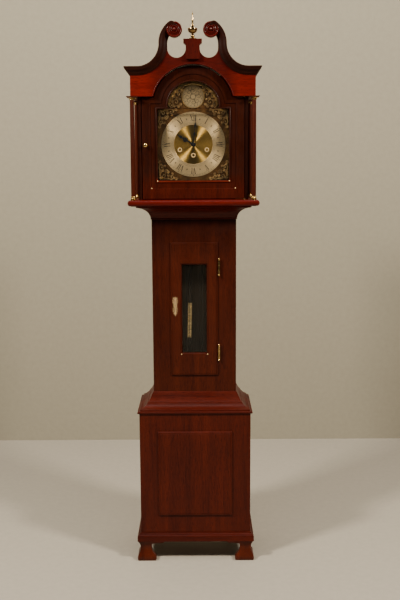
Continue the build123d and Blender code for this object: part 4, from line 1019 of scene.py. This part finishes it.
def make_hands():
    minute_y, hour_y = node_mm("minute_hand")[0].y + 3, node_mm("hour_hand")[0].y
    minute, hour = bmesh.new(), bmesh.new()
    blade = [(2.2, 6), (1.6, 14), (1.3, 30), (2.6, 34), (3.9, 39), (2.4, 44), (1.1, 47), (1.2, 60), (2.9, 68),
             (3.6, 73), (2.2, 79), (0.9, 83), (0.7, 100), (0.0, 111)]
    add_hand(minute, blade, minute_y, MINUTE_ANGLE)
    nut = [(0, 0), (7, 0), (7, 1.0), (6, 1.9), (3.2, 1.9), (3.2, 4.4), (2.6, 5.0), (0, 5.0)]
    add_lathe(minute, nut, (0, minute_y + 1.6, DIAL_Z), "y", 32)
    blade = [(3.2, 8), (2.2, 16), (2.0, 24), (4.6, 28), (8.4, 32), (9.0, 36), (6.2, 41), (3.2, 45), (2.6, 48),
             (4.8, 53), (5.4, 57), (3.2, 62), (1.4, 66), (0, 77)]
    add_hand(hour, blade, hour_y, HOUR_ANGLE)
    add_annulus(hour, 0, DIAL_Z, 3.4, 9, hour_y - 0.2, 1.6, 40, 0.4)
    finish_mesh("minute_hand_pierced", minute, black_steel, 35, "minute_arbor", ["minute_hand"])
    finish_mesh("hour_hand_pierced", hour, black_steel, 35, "hour_pipe", ["hour_hand"])


# ---- door furniture
KEYHOLE_UP = 42.0             # keyhole over the foot of its plate
LEAVES = ((8.6, 7, 13), (9.6, 13, 21), (7.0, 22, 30), (8.8, -7, -13), (7.6, -15, -22), (5.0, -25, -31))


def make_escutcheon():
    """Pierced plate: a keyhole rim, a stem up and down, and pairs of curled leaves."""
    low, high = node_mm("trunk_escutcheon")
    x, face, z = (low.x + high.x) / 2, high.y, low.z + KEYHOLE_UP
    stem_y = face - 0.9
    bm = bmesh.new()
    add_annulus(bm, x, z, 3.6, 6.4, face - 1.3, 1.3, 36, 0.5)
    for side in (-1, 1):
        for reach, root, tip in LEAVES:
            path = [(x + side * reach * k, stem_y, z + root + (tip - root) * k ** 1.6)
                    for k in (0.12, 0.4, 0.7, 0.9, 1.0)]
            add_tube(bm, path, [0.5, 0.9, 0.6, 1.3, 0.5])
            button = [(0, 0), (1.7, 0), (1.5, 0.9), (0, 1.35)]
            add_lathe(bm, button, (path[-1][0], face, path[-1][2]), "y", 14)
    add_tube(bm, [(x, stem_y, z + h) for h in (6, 14, 22, 29, 35.4)], [1.2, 0.8, 1.5, 1.7, 0.4])
    add_tube(bm, [(x, stem_y, z - h) for h in (6, 14, 24, 33, 41.4)], [1.2, 0.8, 1.4, 1.5, 0.4])
    finish_mesh("escutcheon_pierced", bm, lacquered, 45, "trunk_door", ["trunk_escutcheon"])


def make_knob():
    low, high = node_mm("hood_door_knob")
    rose = [(0, 0), (5.4, 0), (5.4, 1.0), (4.6, 1.9), (3.0, 2.8), (2.6, 4.6), (3.2, 6.6)]
    ball = [(1.2 * r, h) for r, h in arc(0, 11.4, 6.9, -38, 60, 12)] + [(2.0, 17.8), (0, 18.0)]
    bm = bmesh.new()
    add_lathe(bm, rose + ball, ((low.x + high.x) / 2, high.y, (low.z + high.z) / 2), "y", 40)
    finish_mesh("hood_door_knob_turned", bm, bright_brass, 40, "hood_door", ["hood_door_knob"])


HINGE_LONG, TIP_LONG = 52.0, 8.3
HINGE_R = 4.0


def make_hinges():
    """Butt hinges with turned ball tips: fixed leaf and pin, and the door's leaf."""
    low, high = node_mm("trunk_hinge_leaves")
    door_low = node_mm("trunk_door_hinge_leaves")[0]
    x, y = door_low.x + HINGE_R, door_low.y + HINGE_R
    third = HINGE_LONG / 3
    barrel = [(0, 0), (HINGE_R - 0.5, 0), (HINGE_R, 0.5), (HINGE_R, third - 0.8)]
    barrel += [(HINGE_R - 0.5, third - 0.3), (0, third - 0.3)]
    tip = [(0, 0), (2.2, 0), (2.0, 0.8), (2.6, 1.6)] + arc(0, 4.6, 3.8, -38, 84, 10) + [(0.3, TIP_LONG)]
    fixed, moving = bmesh.new(), bmesh.new()
    for start in (low.z + TIP_LONG, high.z - TIP_LONG - HINGE_LONG):
        end = start + HINGE_LONG
        add_lathe(fixed, barrel, (x, y, start + third), sides=24)
        for at in (start, start + 2 * third):
            add_lathe(moving, barrel, (x, y, at + 0.15), sides=24)
        for way, at in ((-1, start), (1, end)):
            add_lathe(fixed, [(r, way * h) for r, h in tip], (x, y, at), sides=24)
        add_box(fixed, (x - 1, y, start + third + 0.6), (x + 1, trunk_front, start + 2 * third - 0.6))
        add_box(fixed, (low.x, trunk_front, start), (x + 1, trunk_front + 1.2, end))
        add_box(moving, (door_low.x, y + 1, start), (door_low.x + 1.2, trunk_front - 0.4, end), 0.2)
    finish_mesh("trunk_hinges_fixed", fixed, bright_brass, 40, "case", ["trunk_hinge_leaves"])
    finish_mesh("trunk_hinges_moving", moving, bright_brass, 40, "trunk_door", ["trunk_door_hinge_leaves"])


SLEEVE_WIDE = 16.0


def make_pendulum():
    """Bob and coupling sleeve, turned about the suspension to the swing of the frame."""
    low, high = node_mm("pendulum_bob")
    centre = ((low.x + high.x) / 2, high.y, (low.z + high.z) / 2)
    joints = frame["record"]["behaviour"]["joints"]
    axis_z = next(j for j in joints if j["name"] == "pendulum_swing")["pos_m"][2] / MM
    swing = math.atan2(-centre[0], axis_z - centre[2])
    turn = Matrix.Rotation(swing, 4, "Y")
    r, thick = (high.x - low.x) / 2, high.y - low.y
    dome = thick / 2 - 1.4
    back = [(0, 0)] + [(r * s, dome - dome * c) for c, s in map(unit, range(10, 91, 8))]
    bm = bmesh.new()
    add_lathe(bm, back + [(q, thick - h) for q, h in reversed(back)], centre, "y", 96)
    finish = combed_metal("bob_brass", [c * MM for c in centre], (0.86, 0.62, 0.26), (0.6, 0.4, 0.15),
                          0.2, False)
    finish_mesh("pendulum_bob_domed", bm, finish, 40, "pendulum", ["pendulum_bob"])
    low, high = node_mm("pendulum_sleeve")
    middle = (low.z + high.z) / 2 - axis_z
    distance = -middle / math.cos(swing)
    half = ((high.z - low.z) - SLEEVE_WIDE * math.sin(swing)) / 2
    foot, head = -distance - half, half - distance
    bm = bmesh.new()
    add_box(bm, (-SLEEVE_WIDE / 2, low.y, foot), (SLEEVE_WIDE / 2, high.y, head), 0.8)
    for z in (foot + 10, head - 10):
        add_lathe(bm, [(0, 0), (2.2, 0), (1.8, 0.5), (0, 0.6)], (0, low.y + 0.6, z), "y", 12)
    bmesh.ops.transform(bm, matrix=Matrix.Translation((0, 0, axis_z * MM)) @ turn, verts=bm.verts)
    finish_mesh("pendulum_sleeve_brass", bm, sleeve_brass_painted_light, 30, "pendulum", ["pendulum_sleeve"])


SHELL_HIGH = 206.0


def make_weights():
    """Brass shells with a stirrup each."""
    for side in SIDES:
        low, high = node_mm("weight_" + side)
        x, y = (low.x + high.x) / 2, (low.y + high.y) / 2
        r = high.x - x
        bm = bmesh.new()
        shell = [(0, 0), (r - 4, 0), (r - 1, 1.2), (r, 4), (r, 8), (r - 0.8, 9), (r - 0.8, 191), (r, 192),
                 (r, 196), (r - 1, 199), (r - 4, 200), (6, 201), (3.4, 203), (3, SHELL_HIGH), (0, SHELL_HIGH)]
        add_lathe(bm, shell, (x, y, low.z), sides=56)
        top = low.z + SHELL_HIGH
        add_box(bm, (x - 4, y - 6.2, top), (x + 4, y + 6.2, top + 3), 0.5)
        for y0 in (-6.2, 4.6):
            add_box(bm, (x - 4, y + y0, top), (x + 4, y + y0 + 1.6, high.z), 0.4)
        weight = "weight_" + side
        finish_mesh("weight_shell_" + side, bm, bright_brass, 35, weight, [weight])


CABLE_R = 0.8


def make_cables():
    """Steel cables: the falls run from the foot of the bight up to the seat board and on above it; the bight
    stays round its pulley.
    """
    seat = node_mm("seat_board")[0].z
    for side in SIDES:
        node = "weight_cable_" + side
        low, high = node_mm(node)
        x, y = (low.x + high.x) / 2, (low.y + high.y) / 2
        left, right = low.x + CABLE_R, high.x - CABLE_R
        bight, falls, upper = bmesh.new(), bmesh.new(), bmesh.new()
        add_tube(bight, [(px, y, pz) for px, pz in arc(x, low.z, x - left, 180, 360, 24)], CABLE_R)
        finish_mesh("cable_bight_" + side, bight, cable_steel, 60, "weight_" + side, ())
        for fall in (left, right):
            add_tube(falls, [(fall, y, low.z + (seat - low.z) * k / 12) for k in range(13)], CABLE_R)
        piece = finish_mesh("cable_falls_" + side, falls, cable_steel, 60, "case", [node])
        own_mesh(piece)
        add_tube(upper, [(left, y, seat), (left, y, high.z)], CABLE_R)
        finish_mesh("cable_upper_" + side, upper, cable_steel, 60, "case", ())


STUDIO = (  # name, near edge, how far it runs back and up, tone
    ("studio_floor", -6000, (7400, 0), (0.46, 0.42, 0.36)),
    ("studio_backdrop", 1400, (0, 5000), (0.34, 0.31, 0.24)))
STUDIO_HALF, FLOOR_Z = 6000, -0.2


def make_studio():
    for name, near, (deep, high), tone in STUDIO:
        bm = bmesh.new()
        add_rings(bm, [[(x, near + k * deep, FLOOR_Z + k * high) for x in (-STUDIO_HALF, STUDIO_HALF)]
                       for k in (0, 1)], sheet=True)
        finish_mesh(name, bm, studio_paint(name, tone), solid=False)


for make in (make_case_mouldings, make_feet, make_hood_shelf, make_swan_necks, make_rosettes, make_arch_bead,
             make_finial, make_columns, make_base_panel, make_trunk_door, make_hood_door_beads, make_corner_studs,
             make_chapter_ring, make_dial_centre, make_spandrels, make_arch_band, make_boss_engraving,
             make_collets, make_hands, make_escutcheon, make_knob, make_hinges, make_pendulum, make_weights,
             make_cables, make_studio):
    make()

# ---- parts carried over as they are
BOARDS = (
    (case_z, "trunk_front_frame", "trunk_sides", "hood_sides"),
    (base_z, "base_sides", "base_front_frame"),
    (dark_z, "hood_door_frame", "dial_mask"),
    (hood_x, "hood_tympanum", "hood_frieze_sides"),
    (plinth_z, "finial_plinth"),
    (inner_z, "back_board"))
INSIDES = (
    (inner_z, "base_floor_and_blocks", "seat_board", "hood_roof"),
    (ground_brass, "dial_plate"),
    (plate_brass, "movement_plates", "plate_pillars", "minute_wheel", "escape_wheel", "pendulum_rating_nut",
     "hood_door_pivots", *[part + side for part in ("winding_barrel_", "weight_pulley_") for side in SIDES]),
    (bright_steel, "escape_anchor", "trunk_door_lock", "trunk_lock_bolt"),
    (clear_glass, "trunk_door_glass", "hood_door_glass"),
    (rod_wood, "pendulum_rod"))
for material, *names in BOARDS + INSIDES:
    for name in names:
        paint(name, material)
for _, *names in BOARDS:
    for name in names:
        soften(name)
